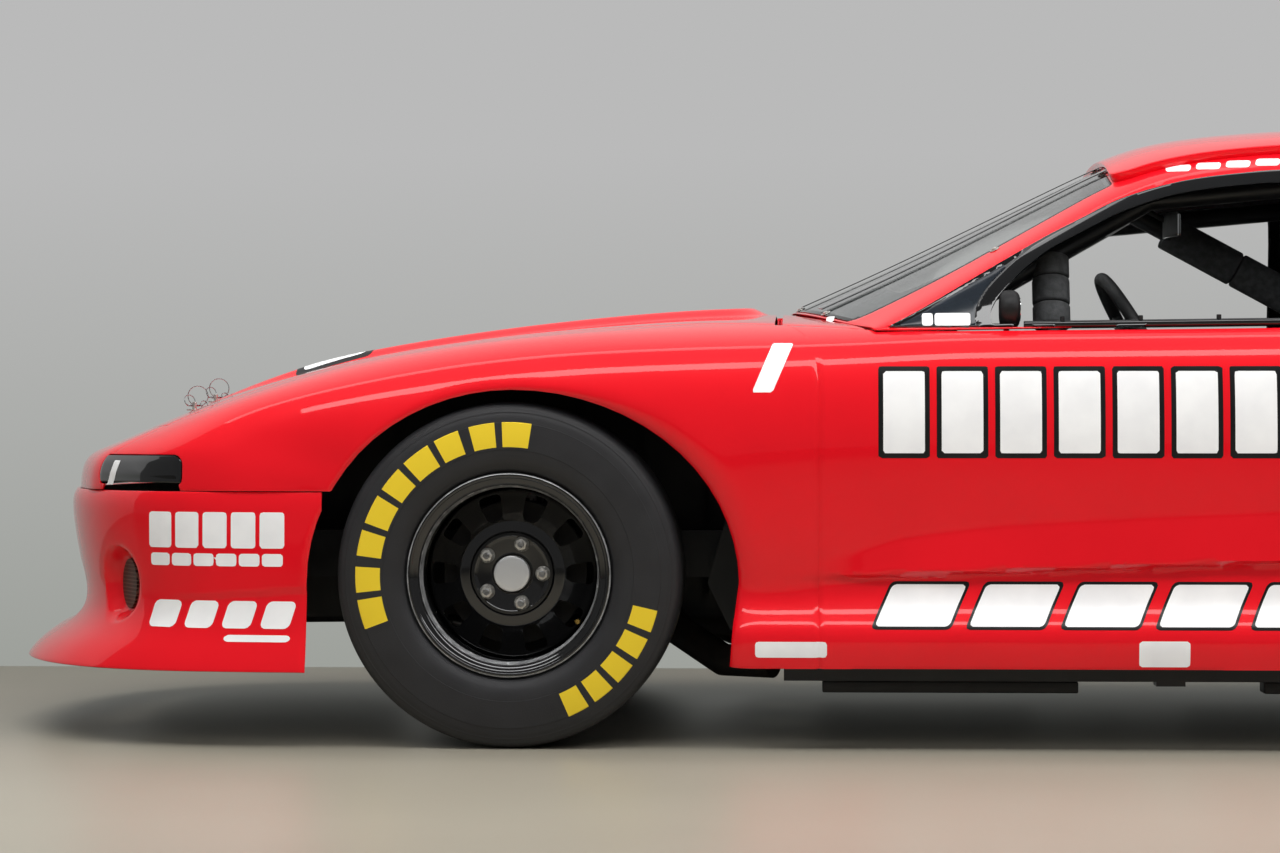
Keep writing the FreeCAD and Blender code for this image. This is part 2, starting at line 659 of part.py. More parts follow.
def rim_section():
    """Steel rim with its dished centre, hub and brake disc, cut through; outboard is negative."""
    edge, flange = size("rim_width") / 2, size("rim_diameter") / 2
    outer = size("bead_diameter") / 2 - 1
    inner = outer - size("rim_wall")
    face = edge - size("lug_inset")
    bore = size("spindle_radius") + size("pin_clearance")
    hub, disc = size("hub_radius"), size("disc_radius")
    dish, cap = 12, 37
    ring = [(62, bore), (62, disc), (40, disc), (40, hub), (dish - face, hub), (dish - face, 100),
            (8, inner - 10), (8, inner), (edge, inner), (edge, flange), (edge - FLANGE_THICK, flange),
            (edge - FLANGE_THICK, outer), (FLANGE_THICK - edge, outer), (FLANGE_THICK - edge, flange),
            (-edge, flange), (-edge, inner), (-6, inner), (-6, inner - 10), (-face, 104),
            (-face, cap), (-face - 24, cap), (-face - 24, 0), (-face + 2, 0), (-face + 2, bore)]
    return ring


def drill_windows(body, label):
    """Ten D-shaped windows through the dish, drilled once and patterned round the axle."""
    sketch = body.newObject("Sketcher::SketchObject", label + "_window")
    sketch.AttachmentSupport = [(origin_plane(body, "XZ_Plane"), "")]
    sketch.MapMode = "FlatFace"
    low, high = 112, 164
    ring = [(-14, low), (14, low), (24, high), (-24, high)]
    sketch_ring(sketch, ring, ((2, (0, high + 7)),))
    doc.recompute()
    before = body.Shape.Volume
    pocket = body.newObject("PartDesign::Pocket", label + "_pocket")
    pocket.Profile = sketch
    pocket.Midplane = True
    pocket.Length = 76
    doc.recompute()
    if body.Shape.Volume >= before - 1000:
        raise RuntimeError("the wheel windows cut nothing")
    pattern = body.newObject("PartDesign::PolarPattern", label + "_round")
    pattern.Originals = [pocket]
    pattern.Axis = (sketch, ["V_Axis"])
    pattern.Angle = 360
    pattern.Occurrences = 10
    return pattern


WHEELS = (("left_front", -1, "0"), ("right_front", 1, "0"), ("left_rear", -1, "wheelbase"),
          ("right_rear", 1, "wheelbase"))
for corner, side, axle in WHEELS:
    tyre = turned_body(corner + "_tyre", *tyre_section())
    wheel = turned_body(corner + "_wheel", rim_section())
    for body in (tyre, wheel):
        if side > 0:
            body.Placement = FreeCAD.Placement(Vector(), Rotation(Vector(0, 0, 1), 180))
        bind(body, Placement__Base__x="%s + %s" % (AXLE_X, axle),
             Placement__Base__y="%d*track/2" % side, Placement__Base__z="tyre_diameter/2")
        nodes.append(body)
    wheel.Tip = drill_windows(wheel, corner)
doc.recompute()

# ---------------------------------------------------------------- chassis
SNOUT_Y = size("snout_half")
RAIL_W, RAIL_H = size("rail_width"), size("rail_height")
RAIL_Z = size("rail_bottom")
RAIL_TOP = RAIL_Z + RAIL_H
SNOUT_Z = size("snout_bottom")
SNOUT_TOP = SNOUT_Z + RAIL_H
RAIL_END = WB - size("rail_rear_gap")
FIREWALL_X = size("firewall_x")
RAIL_Y = size("rail_half")
SEAT_GAP = 0.3
KICK_Z = 560
FRONT_BAR_X, SNOUT_BACK = 560, 640
REAR_RAIL_Y = 490
SNOUT_X = -size("snout_front")
ARM_SHAFT_LOW = (400, 235)
ARM_SHAFT_HIGH = (392, 470)
ARM_REACH_LOW, ARM_REACH_HIGH = 160, 110
ARM_TUBE = 13
CROSS, NOSE_BAR = 60, 20
JACK_X, JACK_PAD = 1360, 10


def chassis_frame():
    half = RAIL_W / 2
    side = block(size("rail_front"), RAIL_END, -RAIL_Y - half, -RAIL_Y + half, RAIL_Z, RAIL_TOP)
    snout = prism(outline([(SNOUT_X, SNOUT_Z), (SNOUT_X, SNOUT_TOP), (540, SNOUT_TOP),
                           (SNOUT_BACK, RAIL_TOP), (SNOUT_BACK, RAIL_Z), (FRONT_BAR_X, RAIL_Z),
                           (490, SNOUT_Z)]),
                  -SNOUT_Y - half, -SNOUT_Y + half)
    front_bar = block(FRONT_BAR_X, FRONT_BAR_X + RAIL_W, -RAIL_Y - half, -SNOUT_Y + half, RAIL_Z, RAIL_TOP)
    rear_bar = block(RAIL_END - RAIL_W, RAIL_END, -RAIL_Y - half, 1, RAIL_Z, RAIL_TOP)
    kick = prism(outline([(RAIL_END - 40, RAIL_Z), (RAIL_END - 40, RAIL_TOP), (WB - 460, KICK_Z + RAIL_H),
                          (WB + 560, KICK_Z + RAIL_H), (WB + 900, 480), (WB + 900, 400),
                          (WB + 520, KICK_Z), (WB - 400, KICK_Z), (RAIL_END + 20, RAIL_Z)]),
                 -REAR_RAIL_Y - half, -REAR_RAIL_Y + half)
    parts = [side, snout, front_bar, rear_bar, kick]
    for x in (SNOUT_X + NOSE_BAR, -210):
        parts.append(block(x, x + CROSS, -SNOUT_Y - half, 1, SNOUT_Z + 5, SNOUT_Z + 5 + CROSS))
    for x in (WB + 330, WB + 800):
        z = KICK_Z if x < WB + 500 else 420
        parts.append(block(x, x + CROSS, -REAR_RAIL_Y - half, 1, z, z + CROSS))
    for x in (-ARM_REACH_LOW, ARM_REACH_LOW):
        y, z = ARM_SHAFT_LOW
        parts.append(block(x - 8, x + 8, -y - 8, -SNOUT_Y, z + ARM_TUBE + SEAT_GAP, SNOUT_Z + 20))
    for x in (-ARM_REACH_HIGH, ARM_REACH_HIGH):
        y, z = ARM_SHAFT_HIGH
        parts.append(block(x - 8, x + 8, -y - 4, -y + 20, SNOUT_TOP - 20, z - ARM_TUBE - SEAT_GAP))
    tower = block(-30, 30, -SNOUT_Y - 16, -SNOUT_Y + 36, SNOUT_TOP - 20, 640)
    parts += [tower, block(-30, 30, -470, -SNOUT_Y, 620 + SEAT_GAP, 640)]
    parts.append(block(JACK_X - 30, JACK_X + 30, -RAIL_Y - 30, -RAIL_Y + 30, RAIL_Z - JACK_PAD, RAIL_Z + 1))
    left = parts[0].multiFuse(parts[1:])
    return left.fuse(mirrored(left))


def control_arms():
    """Upper and lower arms with a shaft at the rail and an eye round the kingpin."""
    king = size("kingpin_half")
    bore = 12 + size("pin_clearance")
    arms = []
    for (y, z), reach, eye_z in ((ARM_SHAFT_LOW, ARM_REACH_LOW, size("ball_low")),
                                 (ARM_SHAFT_HIGH, ARM_REACH_HIGH, size("ball_high"))):
        shaft = tube_between((-reach - 15, -y, z), (reach + 15, -y, z), ARM_TUBE)
        legs = [tube_between((0, -king, eye_z), (x, -y, z), ARM_TUBE - 1) for x in (-reach, reach)]
        eye = Part.makeCylinder(24, 24, Vector(0, -king, eye_z - 12))
        hole = Part.makeCylinder(bore, 80, Vector(0, -king, eye_z - 40))
        arms.append(shaft.multiFuse(legs + [eye]).cut(hole))
    return both_sides(Part.makeCompound(arms))


def knuckle(side):
    king, arm = size("kingpin_half"), size("steering_arm")
    low, high = size("ball_low"), size("ball_high")
    track_half = size("track") / 2
    reach = track_half + size("rim_width") / 2 - size("lug_inset") - 4
    parts = [block(-28, 28, -king - 20, -king + 20, low + 20, high - 20),
             Part.makeCylinder(size("spindle_radius"), reach - king, Vector(0, -king, HUB_HEIGHT),
                               Vector(0, -1, 0)),
             Part.makeCylinder(34, track_half + DISC_BACK - king - SEAT_GAP, Vector(0, -king, HUB_HEIGHT),
                               Vector(0, -1, 0)),
             Part.makeCylinder(12, 39, Vector(0, -king, low - 14)),
             Part.makeCylinder(12, 39, Vector(0, -king, high - 25)),
             block(-arm, 0, -king - 10, -king + 10, ARM_Z, ARM_Z + 15),
             Part.makeCylinder(16, 15, Vector(-arm, -king, ARM_Z))]
    shape = parts[0].multiFuse(parts[1:])
    return shape if side < 0 else mirrored(shape)


ARM_Z = 243


def tie_rod():
    king, arm = size("kingpin_half"), size("steering_arm")
    eye_z = ARM_Z + 15 + GAP
    bar = tube_between((-arm, -king, eye_z + 11), (-arm, king, eye_z + 11), 9)
    eyes = [Part.makeCylinder(14, 22, Vector(-arm, side * king, eye_z)) for side in (-1, 1)]
    return bar.multiFuse(eyes)


def shocks_and_springs():
    shapes = []
    damper = tube_between((0, -540, 250), (0, -430, 618), 24)
    cap_cut = block(-60, 60, -600, -300, 620, 700)
    damper = damper.fuse(Part.makeCylinder(14, 40, Vector(0, -430, 580))).cut(cap_cut)
    shapes.append(damper)
    spring = Part.makeCylinder(62, KICK_Z - 402 - SEAT_GAP, Vector(WB, -REAR_RAIL_Y, 402))
    shapes.append(spring.cut(Part.makeCylinder(50, 400, Vector(WB, -REAR_RAIL_Y, 380))))
    return both_sides(Part.makeCompound(shapes))


def rear_axle():
    """Housing, pinion nose, spring perches and the long arms that locate it."""
    radius = size("axle_radius")
    end = size("track") / 2 + DISC_BACK - SEAT_GAP
    stub = size("track") / 2 + size("rim_width") / 2 - size("lug_inset") - 4
    parts = [tube_between((WB, -end, HUB_HEIGHT), (WB, 1, HUB_HEIGHT), radius),
             tube_between((WB, -stub, HUB_HEIGHT), (WB, -end + 5, HUB_HEIGHT), size("spindle_radius")),
             Part.makeSphere(150, Vector(WB, 0, HUB_HEIGHT)),
             tube_between((WB - 190, 0, HUB_HEIGHT), (WB, 0, HUB_HEIGHT), 62),
             block(WB - 50, WB + 50, -REAR_RAIL_Y - 50, -REAR_RAIL_Y + 50, HUB_HEIGHT, 402 - SEAT_GAP),
             tube_between((RAIL_END + 30, -150, 190), (WB, -430, HUB_HEIGHT - 40), 27),
             tube_between((RAIL_END + SEAT_GAP, -150, 190), (RAIL_END + 40, -150, 190), 30)]
    left = parts[0].multiFuse(parts[1:])
    return left.fuse(mirrored(left))


node("chassis_frame", solid("frame_weldment", chassis_frame()))
node("front_control_arms", solid("arms_shape", control_arms()))
node("left_knuckle", solid("left_knuckle_shape", knuckle(-1)))
node("right_knuckle", solid("right_knuckle_shape", knuckle(1)))
node("tie_rod", solid("tie_rod_shape", tie_rod()))
node("dampers_and_springs", solid("springs_shape", shocks_and_springs()))
node("rear_axle", solid("axle_shape", rear_axle()))

# ---------------------------------------------------------------- engine, gearbox and running gear
ENGINE_FRONT = -60
engine = box("engine_block", "engine_length", "engine_width", "engine_top - engine_bottom",
             str(ENGINE_FRONT), "-engine_width/2", "engine_bottom")
node("engine", engine)
ENGINE_REAR = ENGINE_FRONT + size("engine_length")
SHAFT_Z = 300
bell = rod("bell_housing", "tunnel_half - 20", "120", str(ENGINE_REAR + SEAT_GAP), "0", str(SHAFT_Z + 8), "x")
case = rod("gear_case", "tunnel_half - 55", "400", str(ENGINE_REAR + 100), "0", str(SHAFT_Z), "x")
GEARBOX_REAR = ENGINE_REAR + 500
node("gearbox", fuse("gearbox_shape", (bell, case)))
SHAFT_END = WB - 190
shaft = tube_between((GEARBOX_REAR - 20, 0, SHAFT_Z - 1), (SHAFT_END + 20, 0, HUB_HEIGHT), 38)
shaft = shaft.common(block(GEARBOX_REAR + SEAT_GAP, SHAFT_END - SEAT_GAP, -100, 100, 0, 600))
node("drive_shaft", solid("shaft_shape", shaft))

mounts = [block(150, 230, -SNOUT_Y + RAIL_W / 2 + SEAT_GAP, -size("engine_width") / 2 - SEAT_GAP, 345, 405)]
node("engine_mounts", solid("mounts_shape", both_sides(mounts[0])))

cell = box("fuel_cell_box", "fuel_cell_length", "fuel_cell_width", str(KICK_Z - SEAT_GAP - 260),
           "wheelbase + 250", "-fuel_cell_width/2", "260")
node("fuel_cell", cell)
radiator = box("radiator_core", "50", "640", "290", str(SNOUT_X + NOSE_BAR + CROSS + SEAT_GAP), "-320",
               str(SNOUT_Z - 90))
node("radiator", radiator)

PIPE = 34
pipe = tube_run([(250, -size("engine_width") / 2 - 40, 300), (330, -400, 215), (430, -540, 160),
                 (537, -605, 160)], PIPE)
node("exhaust_pipes", solid("pipes_shape", both_sides(pipe)))

skid_height = 24
skids = [block(x1, x2, -RAIL_Y - RAIL_W / 2, -RAIL_Y + RAIL_W / 2, RAIL_Z - SEAT_GAP - skid_height,
               RAIL_Z - SEAT_GAP) for x1, x2 in ((640, 1169), (1551, RAIL_END - 5))]
node("side_skids", solid("skids_shape", both_sides(Part.makeCompound(skids))))

# ---------------------------------------------------------------- floor, bulkheads and cabin
SHEET = size("sheet")
FLOOR = size("floor_height")
TUNNEL_Y, TUNNEL_Z = size("tunnel_half"), size("tunnel_top")
CABIN_Y = RAIL_Y - RAIL_W / 2 - SEAT_GAP
BULKHEAD_X = RAIL_END + 85
PARCEL_Z = 857
HOOD_PIVOT = (549, 908)
DECK_PIVOT = (2995, 984)
HINGE_Y = 165


def floor_pan():
    x1, x2 = SNOUT_BACK + SEAT_GAP, RAIL_END - RAIL_W - SEAT_GAP
    parts = [block(x1, x2, -CABIN_Y, -TUNNEL_Y, FLOOR, FLOOR + SHEET),
             block(x1, x2, -TUNNEL_Y - SHEET, -TUNNEL_Y, FLOOR, TUNNEL_Z),
             block(x1, x2, -TUNNEL_Y - SHEET, 1, TUNNEL_Z - SHEET, TUNNEL_Z)]
    left = parts[0].multiFuse(parts[1:])
    return left.fuse(mirrored(left))


def hinge_post(x, z, foot_x, foot_z):
    """Bracket and pin that carry a lid's hinge, on the left."""
    post = block(x - 6, x + 6, -HINGE_Y - 20, -HINGE_Y - 10, foot_z, z + 4)
    foot = block(min(foot_x, x - 6), max(foot_x, x + 6), -HINGE_Y - 20, -HINGE_Y - 10, foot_z, foot_z + 12)
    pin = Part.makeCylinder(3, 30, Vector(x, -HINGE_Y - 20, z), Vector(0, 1, 0))
    return post.multiFuse([foot, pin])


def hinge_lug(x, z, lid_x):
    """Eye on the lid that turns on the pin, on the left."""
    eye = Part.makeCylinder(6.5, 10, Vector(x, -HINGE_Y - 5, z), Vector(0, 1, 0))
    strap = block(min(x, lid_x), max(x, lid_x), -HINGE_Y - 5, -HINGE_Y + 5, z - 6.5, z - 1.5)
    bore = Part.makeCylinder(3 + size("pin_clearance"), 40, Vector(x, -HINGE_Y - 20, z), Vector(0, 1, 0))
    return eye.fuse(strap).cut(bore)


def firewall():
    top = 830
    wall = block(FIREWALL_X, FIREWALL_X + SHEET, -CABIN_Y - 20, CABIN_Y + 20, RAIL_TOP + SEAT_GAP, top)
    hole = block(FIREWALL_X - 5, FIREWALL_X + 10, -TUNNEL_Y, TUNNEL_Y, 0, TUNNEL_Z)
    knee = block(FIREWALL_X - 60, FIREWALL_X + 30, -SNOUT_Y - RAIL_W / 2 - 2, -SNOUT_Y + RAIL_W / 2 + 2,
                 0, 330)
    post = hinge_post(HOOD_PIVOT[0], HOOD_PIVOT[1], FIREWALL_X + 1, top - 12)
    return wall.cut([hole, knee, mirrored(knee)]).multiFuse([post, mirrored(post)])


def foot_boxes():
    ring = [(448, 232), (400, 330), (455, 520), (FIREWALL_X - SEAT_GAP, 560), (FIREWALL_X - SEAT_GAP, 245)]
    inner = [(460, 242), (410, 330), (463, 512), (FIREWALL_X - 10, 548), (FIREWALL_X - 10, 255)]
    outer_shape = prism(outline(ring), -690, -410)
    return both_sides(outer_shape.cut(prism(outline(inner), -680, -420)))


def rear_bulkhead():
    wall = block(BULKHEAD_X, BULKHEAD_X + SHEET, -690, 690, 245, PARCEL_Z + SHEET)
    shelf = block(BULKHEAD_X, along(2900), -600, 600, PARCEL_Z, PARCEL_Z + SHEET)
    pivot_x, pivot_z = along(DECK_PIVOT[0]), up(DECK_PIVOT[1])
    post = hinge_post(pivot_x, pivot_z, along(2890), PARCEL_Z)
    holes = []
    for side in (-1, 1):
        holes.append(tube_between((HOOP_X, side * HOOP_TOP_Y, HOOP_TOP_Z),
                                  (WB - 100, side * REAR_RAIL_Y, KICK_Z + RAIL_H + 20), TUBE + 2))
        holes.append(block(BULKHEAD_X - 5, BULKHEAD_X + 10, side * REAR_RAIL_Y - RAIL_W / 2 - 2,
                           side * REAR_RAIL_Y + RAIL_W / 2 + 2, 0, 370))
    holes.append(block(BULKHEAD_X - 5, BULKHEAD_X + 10, -60, 60, 0, TUNNEL_Z))
    for side in (-1, 1):
        holes.append(block(BULKHEAD_X - 5, BULKHEAD_X + 10, side * 160 - 60, side * 160 + 60, 0, 300))
    return wall.fuse(shelf).cut(holes).multiFuse([post, mirrored(post)])


TUBE = size("tube") / 2
HOOP_X, HOOP_TOP_Y, HOOP_TOP_Z = 1830, 515, 1185
CAGE_Y = 690
SCREEN_BAR = (1335, 505, 1140)
COWL_BAR = (775, CAGE_Y, 822)
DOOR_BARS = (345, 465, 585, 705)


def cage_points():
    foot = RAIL_TOP + SEAT_GAP
    hoop = [(HOOP_X, -CAGE_Y, foot), (HOOP_X, -CAGE_Y, 800), (HOOP_X, -HOOP_TOP_Y, HOOP_TOP_Z), (HOOP_X, 1, HOOP_TOP_Z)]
    side = [(HOOP_X, -HOOP_TOP_Y, HOOP_TOP_Z), (SCREEN_BAR[0], -SCREEN_BAR[1], SCREEN_BAR[2]),
            (COWL_BAR[0], -COWL_BAR[1], COWL_BAR[2]), (700, -CAGE_Y, foot)]
    front = [(SCREEN_BAR[0], -SCREEN_BAR[1], SCREEN_BAR[2]), (SCREEN_BAR[0], 1, SCREEN_BAR[2])]
    cowl = [(COWL_BAR[0], -COWL_BAR[1], COWL_BAR[2]), (COWL_BAR[0], 1, COWL_BAR[2])]
    waist = [(HOOP_X, -CAGE_Y, 870), (HOOP_X, 1, 870)]
    stay = [(HOOP_X, -HOOP_TOP_Y, HOOP_TOP_Z), (WB - 100, -REAR_RAIL_Y, KICK_Z + RAIL_H + 20)]
    bars = [[(705, -CAGE_Y, z), (900, -790, z), (1640, -790, z), (HOOP_X, -CAGE_Y, z)]
            for z in DOOR_BARS]
    return [hoop, side, front, cowl, waist, stay] + bars


STRUT = ((1122, -652, 800), (1122, -573, 1025))
STRUT_FOOT = (1122, -790, DOOR_BARS[-1])
DASH_HALF = 605
PETTY = ((SCREEN_BAR[0], -100, SCREEN_BAR[2]), (HOOP_X, -100, 870))


def roll_cage():
    tubes = []
    for points in cage_points():
        tubes += [tube_between(a, b, TUBE) for a, b in zip(points, points[1:])]
        tubes += [Part.makeSphere(TUBE, Vector(*p)) for p in points[1:-1]]
    left = tubes[0].multiFuse(tubes[1:])
    below = block(-100, 5000, -1000, 0, -100, RAIL_TOP + SEAT_GAP)
    rail = block(HOOP_X + 300, 5000, -1000, 0, 0, KICK_Z + RAIL_H + SEAT_GAP)
    left = left.cut([below, rail])
    strut = tube_run([STRUT_FOOT, STRUT[0], STRUT[1]], TUBE)
    return left.multiFuse([mirrored(left), strut, tube_between(*PETTY, TUBE)])


def cage_padding():
    """Foam sleeves round the driver's strut and the diagonal bar."""
    pads = []
    top_tube = tube_between(SCREEN_BAR[:1] + (-SCREEN_BAR[1],) + SCREEN_BAR[2:],
                            COWL_BAR[:1] + (-COWL_BAR[1],) + COWL_BAR[2:], TUBE + SEAT_GAP)
    for (start, end), low, high in ((STRUT, 0.29, 0.9), (PETTY, 0.16, 0.8)):
        a, b = Vector(*start), Vector(*end)
        p, q = a + (b - a) * low, a + (b - a) * high
        foam = tube_between(tuple(p), tuple(q), 40)
        foam = foam.cut([tube_between(tuple(a), tuple(b), TUBE + SEAT_GAP), top_tube])
        pads.append(max(foam.Solids, key=lambda piece: piece.Volume))
    return Part.makeCompound(pads)


WHEEL_AT = Vector(1335, -size("driver_half"), 825)
LEAN = math.radians(size("wheel_lean"))
WHEEL_AXIS = Vector(math.cos(LEAN), 0, math.sin(LEAN))


def steering_wheel():
    radius = size("wheel_ring") / 2 - 14
    ring = Part.makeTorus(radius, 14, WHEEL_AT, WHEEL_AXIS)
    across_dir = Vector(0, 1, 0)
    up_dir = WHEEL_AXIS.cross(across_dir)
    hub_at = WHEEL_AT - WHEEL_AXIS * 45
    parts = [Part.makeCylinder(32, 30, hub_at, WHEEL_AXIS)]
    for angle in (90, 210, 330):
        turn = math.radians(angle)
        out = across_dir * math.cos(turn) + up_dir * math.sin(turn) * -1
        parts.append(tube_between(tuple(hub_at + WHEEL_AXIS * 15), tuple(WHEEL_AT + out * radius), 9))
    return ring.multiFuse(parts)


def steering_column():
    top = WHEEL_AT - WHEEL_AXIS * (45 + 0.6)
    reach = (top.x - FIREWALL_X - SHEET) / WHEEL_AXIS.x
    bar = Part.makeCylinder(20, reach + 40, top - WHEEL_AXIS * (reach + 40), WHEEL_AXIS)
    return bar.cut(block(0, FIREWALL_X + SHEET + SEAT_GAP, -700, 0, 0, 900))


def dashboard():
    ring = [(1010, 770), (1010, 838), (1120, 850), (1150, 838), (1140, 770)]
    panel_shape = prism(outline(ring), -DASH_HALF, DASH_HALF)
    bore = Part.makeCylinder(26, 900, WHEEL_AT - WHEEL_AXIS * 900, WHEEL_AXIS)
    stays = [block(COWL_BAR[0] + TUBE + SEAT_GAP, 1012, side * 300 - 10, side * 300 + 10, 800, 830)
             for side in (-1, 1)]
    return panel_shape.multiFuse(stays).cut(bore)


def driver_seat():
    """Bucket with a cushion floor, leaning back and two side wings."""
    y1, y2 = -size("driver_half") - 215, -size("driver_half") + 205
    base = prism(outline([(1440, 250), (1440, 300), (1740, 265), (1760, 230), (1700, 215)]), y1, y2)
    back = prism(outline([(1700, 220), (1690, 262), (1745, 640), (1768, 900), (1800, 900),
                          (1780, 640), (1750, 225)]), y1, y2)
    wing = outline([(1440, 250), (1450, 390), (1600, 420), (1640, 700), (1740, 760), (1790, 760),
                    (1755, 222), (1700, 215)])
    left_wing = prism(wing, y1, y1 + 18)
    right_wing = prism(wing, y2 - 18, y2)
    legs = [block(x, x + 30, y, y + 30, FLOOR + SHEET + SEAT_GAP, 258) for x in (1470, 1690)
            for y in (y1, y2 - 30)]
    return base.multiFuse([back, left_wing, right_wing] + legs)


def mirrors():
    glass = Part.makeBox(24, 210, 55, Vector(1395, -370, 1070))
    stem = tube_between((1407, -265, 1120), (1345, -265, 1137), 6)
    wall = tube_between((SCREEN_BAR[0], -600, SCREEN_BAR[2]), (SCREEN_BAR[0], 600, SCREEN_BAR[2]), TUBE + SEAT_GAP)
    inside = glass.fuse(stem).cut(wall)
    disc = tube_between((1012, -770, 893), (1030, -770, 893), 32)
    top_bar = tube_between((900, -790, DOOR_BARS[-1]), (1640, -790, DOOR_BARS[-1]), TUBE + SEAT_GAP)
    stalk = tube_between((1020, -770, 870), (1020, -790, DOOR_BARS[-1]), 6)
    return Part.makeCompound([inside, disc.fuse(stalk).cut(top_bar)])


node("floor_pan", solid("floor_shape", floor_pan()))
node("firewall", solid("firewall_shape", firewall()))
node("foot_boxes", solid("foot_shape", foot_boxes()))
node("rear_bulkhead", solid("bulkhead_shape", rear_bulkhead()))
node("roll_cage", solid("cage_shape", roll_cage()))
node("cage_padding", solid("padding_shape", cage_padding()))
node("steering_wheel", solid("ring_shape", steering_wheel()))
node("steering_column", solid("column_shape", steering_column()))
node("dashboard", solid("dash_shape", dashboard()))
node("driver_seat", solid("seat_shape", driver_seat()))
node("mirrors", solid("mirror_shape", mirrors()))

# ---------------------------------------------------------------- screens and spoiler
DUCT_FRONT_X = -956.5


def radiator_duct():
    outer_shape = block(along(DUCT_FRONT_X), SNOUT_X - SEAT_GAP, -445, 445, up(245), up(345))
    inner_shape = block(-2000, 0, -442, 442, up(245) + 3, up(345) - 3)
    return outer_shape.cut(inner_shape)


def screens():
    front = along(DUCT_FRONT_X) + 10
    mesh = block(front, front + 6, -442 + SEAT_GAP, 442 - SEAT_GAP, up(245) + 3 + SEAT_GAP,
                 up(345) - 3 - SEAT_GAP)
    disc = Part.makeCylinder(DUCT_RADIUS, DISC_LONG, *duct_line(-1))
    return Part.makeCompound([mesh, disc, mirrored(disc)])


def spoiler():
    tip = size("spoiler_height")
    foot = up(925)
    ring = [(along(3800), foot), (along(3806), foot), (along(3850), foot + 30 + tip),
            (along(3844), foot + 30 + tip)]
    blade = prism(outline(ring), -across(620), across(620))
    deck = panel(BODY, 18.2, TAIL_U, SEAM_V, 24 - SEAM_V, outer=SEAT_GAP, inner=-80)
    return max(blade.cut(deck).Solids, key=lambda piece: piece.Volume)


node("radiator_duct", solid("duct_shape", radiator_duct()))
node("screens", solid("screens_shape", screens()))
node("rear_spoiler", solid("spoiler_shape", spoiler()))
doc.recompute()

# ---------------------------------------------------------------- body panels, now that hinges are known
shapes = lids_and_shells()
shapes.update(greenhouse())
for label in ("fender", "door", "quarter"):
    shapes["right_" + label] = mirrored(shapes["left_" + label])
for label, shape in shapes.items():
    node(label, solid(label + "_skin", shape))
doc.recompute()

# ---------------------------------------------------------------- checks and files
for item in doc.Objects:
    if "Invalid" in item.State or "Error" in item.State:
        raise RuntimeError("not built: " + item.Label)
for item in nodes:
    if item.Shape.isNull() or not item.Shape.isValid():
        raise RuntimeError("bad shape: " + item.Label)
os.makedirs("parts", exist_ok=True)
for item in nodes:
    item.Shape.exportStep("parts/" + item.Label + ".step")
    print(item.Label, len(item.Shape.Solids), round(item.Shape.Volume / 1e3))
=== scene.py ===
# %% [markdown]
# # A closed-wheel stock car on a studio floor
# The real car has a thin composite body, a welded tube chassis and wide slick tyres on steel rims.
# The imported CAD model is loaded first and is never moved: every piece below is laid over it, in
# metres, and rides on the body that carries it, so it follows every pose.

# %% Load the fixed frame
import bpy
import bmesh
import json
import math
import numpy as np
from mathutils import Matrix, Vector

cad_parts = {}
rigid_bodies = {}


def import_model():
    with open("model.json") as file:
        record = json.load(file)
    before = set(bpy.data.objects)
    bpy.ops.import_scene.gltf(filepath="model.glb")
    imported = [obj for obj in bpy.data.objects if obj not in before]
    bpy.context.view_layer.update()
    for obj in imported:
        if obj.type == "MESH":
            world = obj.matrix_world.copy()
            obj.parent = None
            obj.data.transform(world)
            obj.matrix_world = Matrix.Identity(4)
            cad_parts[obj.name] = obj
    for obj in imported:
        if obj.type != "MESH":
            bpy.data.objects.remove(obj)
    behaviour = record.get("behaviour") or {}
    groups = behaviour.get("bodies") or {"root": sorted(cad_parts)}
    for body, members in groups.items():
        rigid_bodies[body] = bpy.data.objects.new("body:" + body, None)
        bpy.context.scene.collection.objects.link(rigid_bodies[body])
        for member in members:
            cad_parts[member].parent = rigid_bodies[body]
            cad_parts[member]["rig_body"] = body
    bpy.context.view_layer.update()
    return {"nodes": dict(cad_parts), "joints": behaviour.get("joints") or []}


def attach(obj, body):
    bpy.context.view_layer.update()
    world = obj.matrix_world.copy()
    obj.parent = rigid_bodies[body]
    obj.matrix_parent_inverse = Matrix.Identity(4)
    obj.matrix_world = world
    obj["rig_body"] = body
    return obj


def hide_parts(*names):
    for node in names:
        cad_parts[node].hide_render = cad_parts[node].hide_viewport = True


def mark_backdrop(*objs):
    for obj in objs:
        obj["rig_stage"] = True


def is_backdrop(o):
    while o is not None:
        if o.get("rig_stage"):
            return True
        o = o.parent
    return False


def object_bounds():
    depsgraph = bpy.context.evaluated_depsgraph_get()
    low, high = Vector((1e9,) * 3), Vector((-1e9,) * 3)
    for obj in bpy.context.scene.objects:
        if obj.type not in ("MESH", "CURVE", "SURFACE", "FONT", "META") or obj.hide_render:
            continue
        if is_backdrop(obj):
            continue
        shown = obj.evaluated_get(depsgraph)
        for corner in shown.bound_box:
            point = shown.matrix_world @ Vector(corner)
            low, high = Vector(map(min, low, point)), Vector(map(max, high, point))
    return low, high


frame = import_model()
joints = {joint["name"]: joint for joint in frame["joints"]}
AXLE_X = joints["left_steer"]["pos_m"][0]
WHEELBASE = (joints["left_rear_spin"]["pos_m"][0] - AXLE_X) * 1000
HUB_Z = joints["left_front_spin"]["pos_m"][2] * 1000
TRACK_HALF = -joints["left_front_spin"]["pos_m"][1] * 1000
bpy.ops.object.select_all(action="DESELECT")

# %% [markdown]
# ## Colours and nodes
# Paint makers give colours as sRGB values, while a shader works in linear light, so one function
# turns a hex value over.  A second function adds any node, sets it and links it in one line.

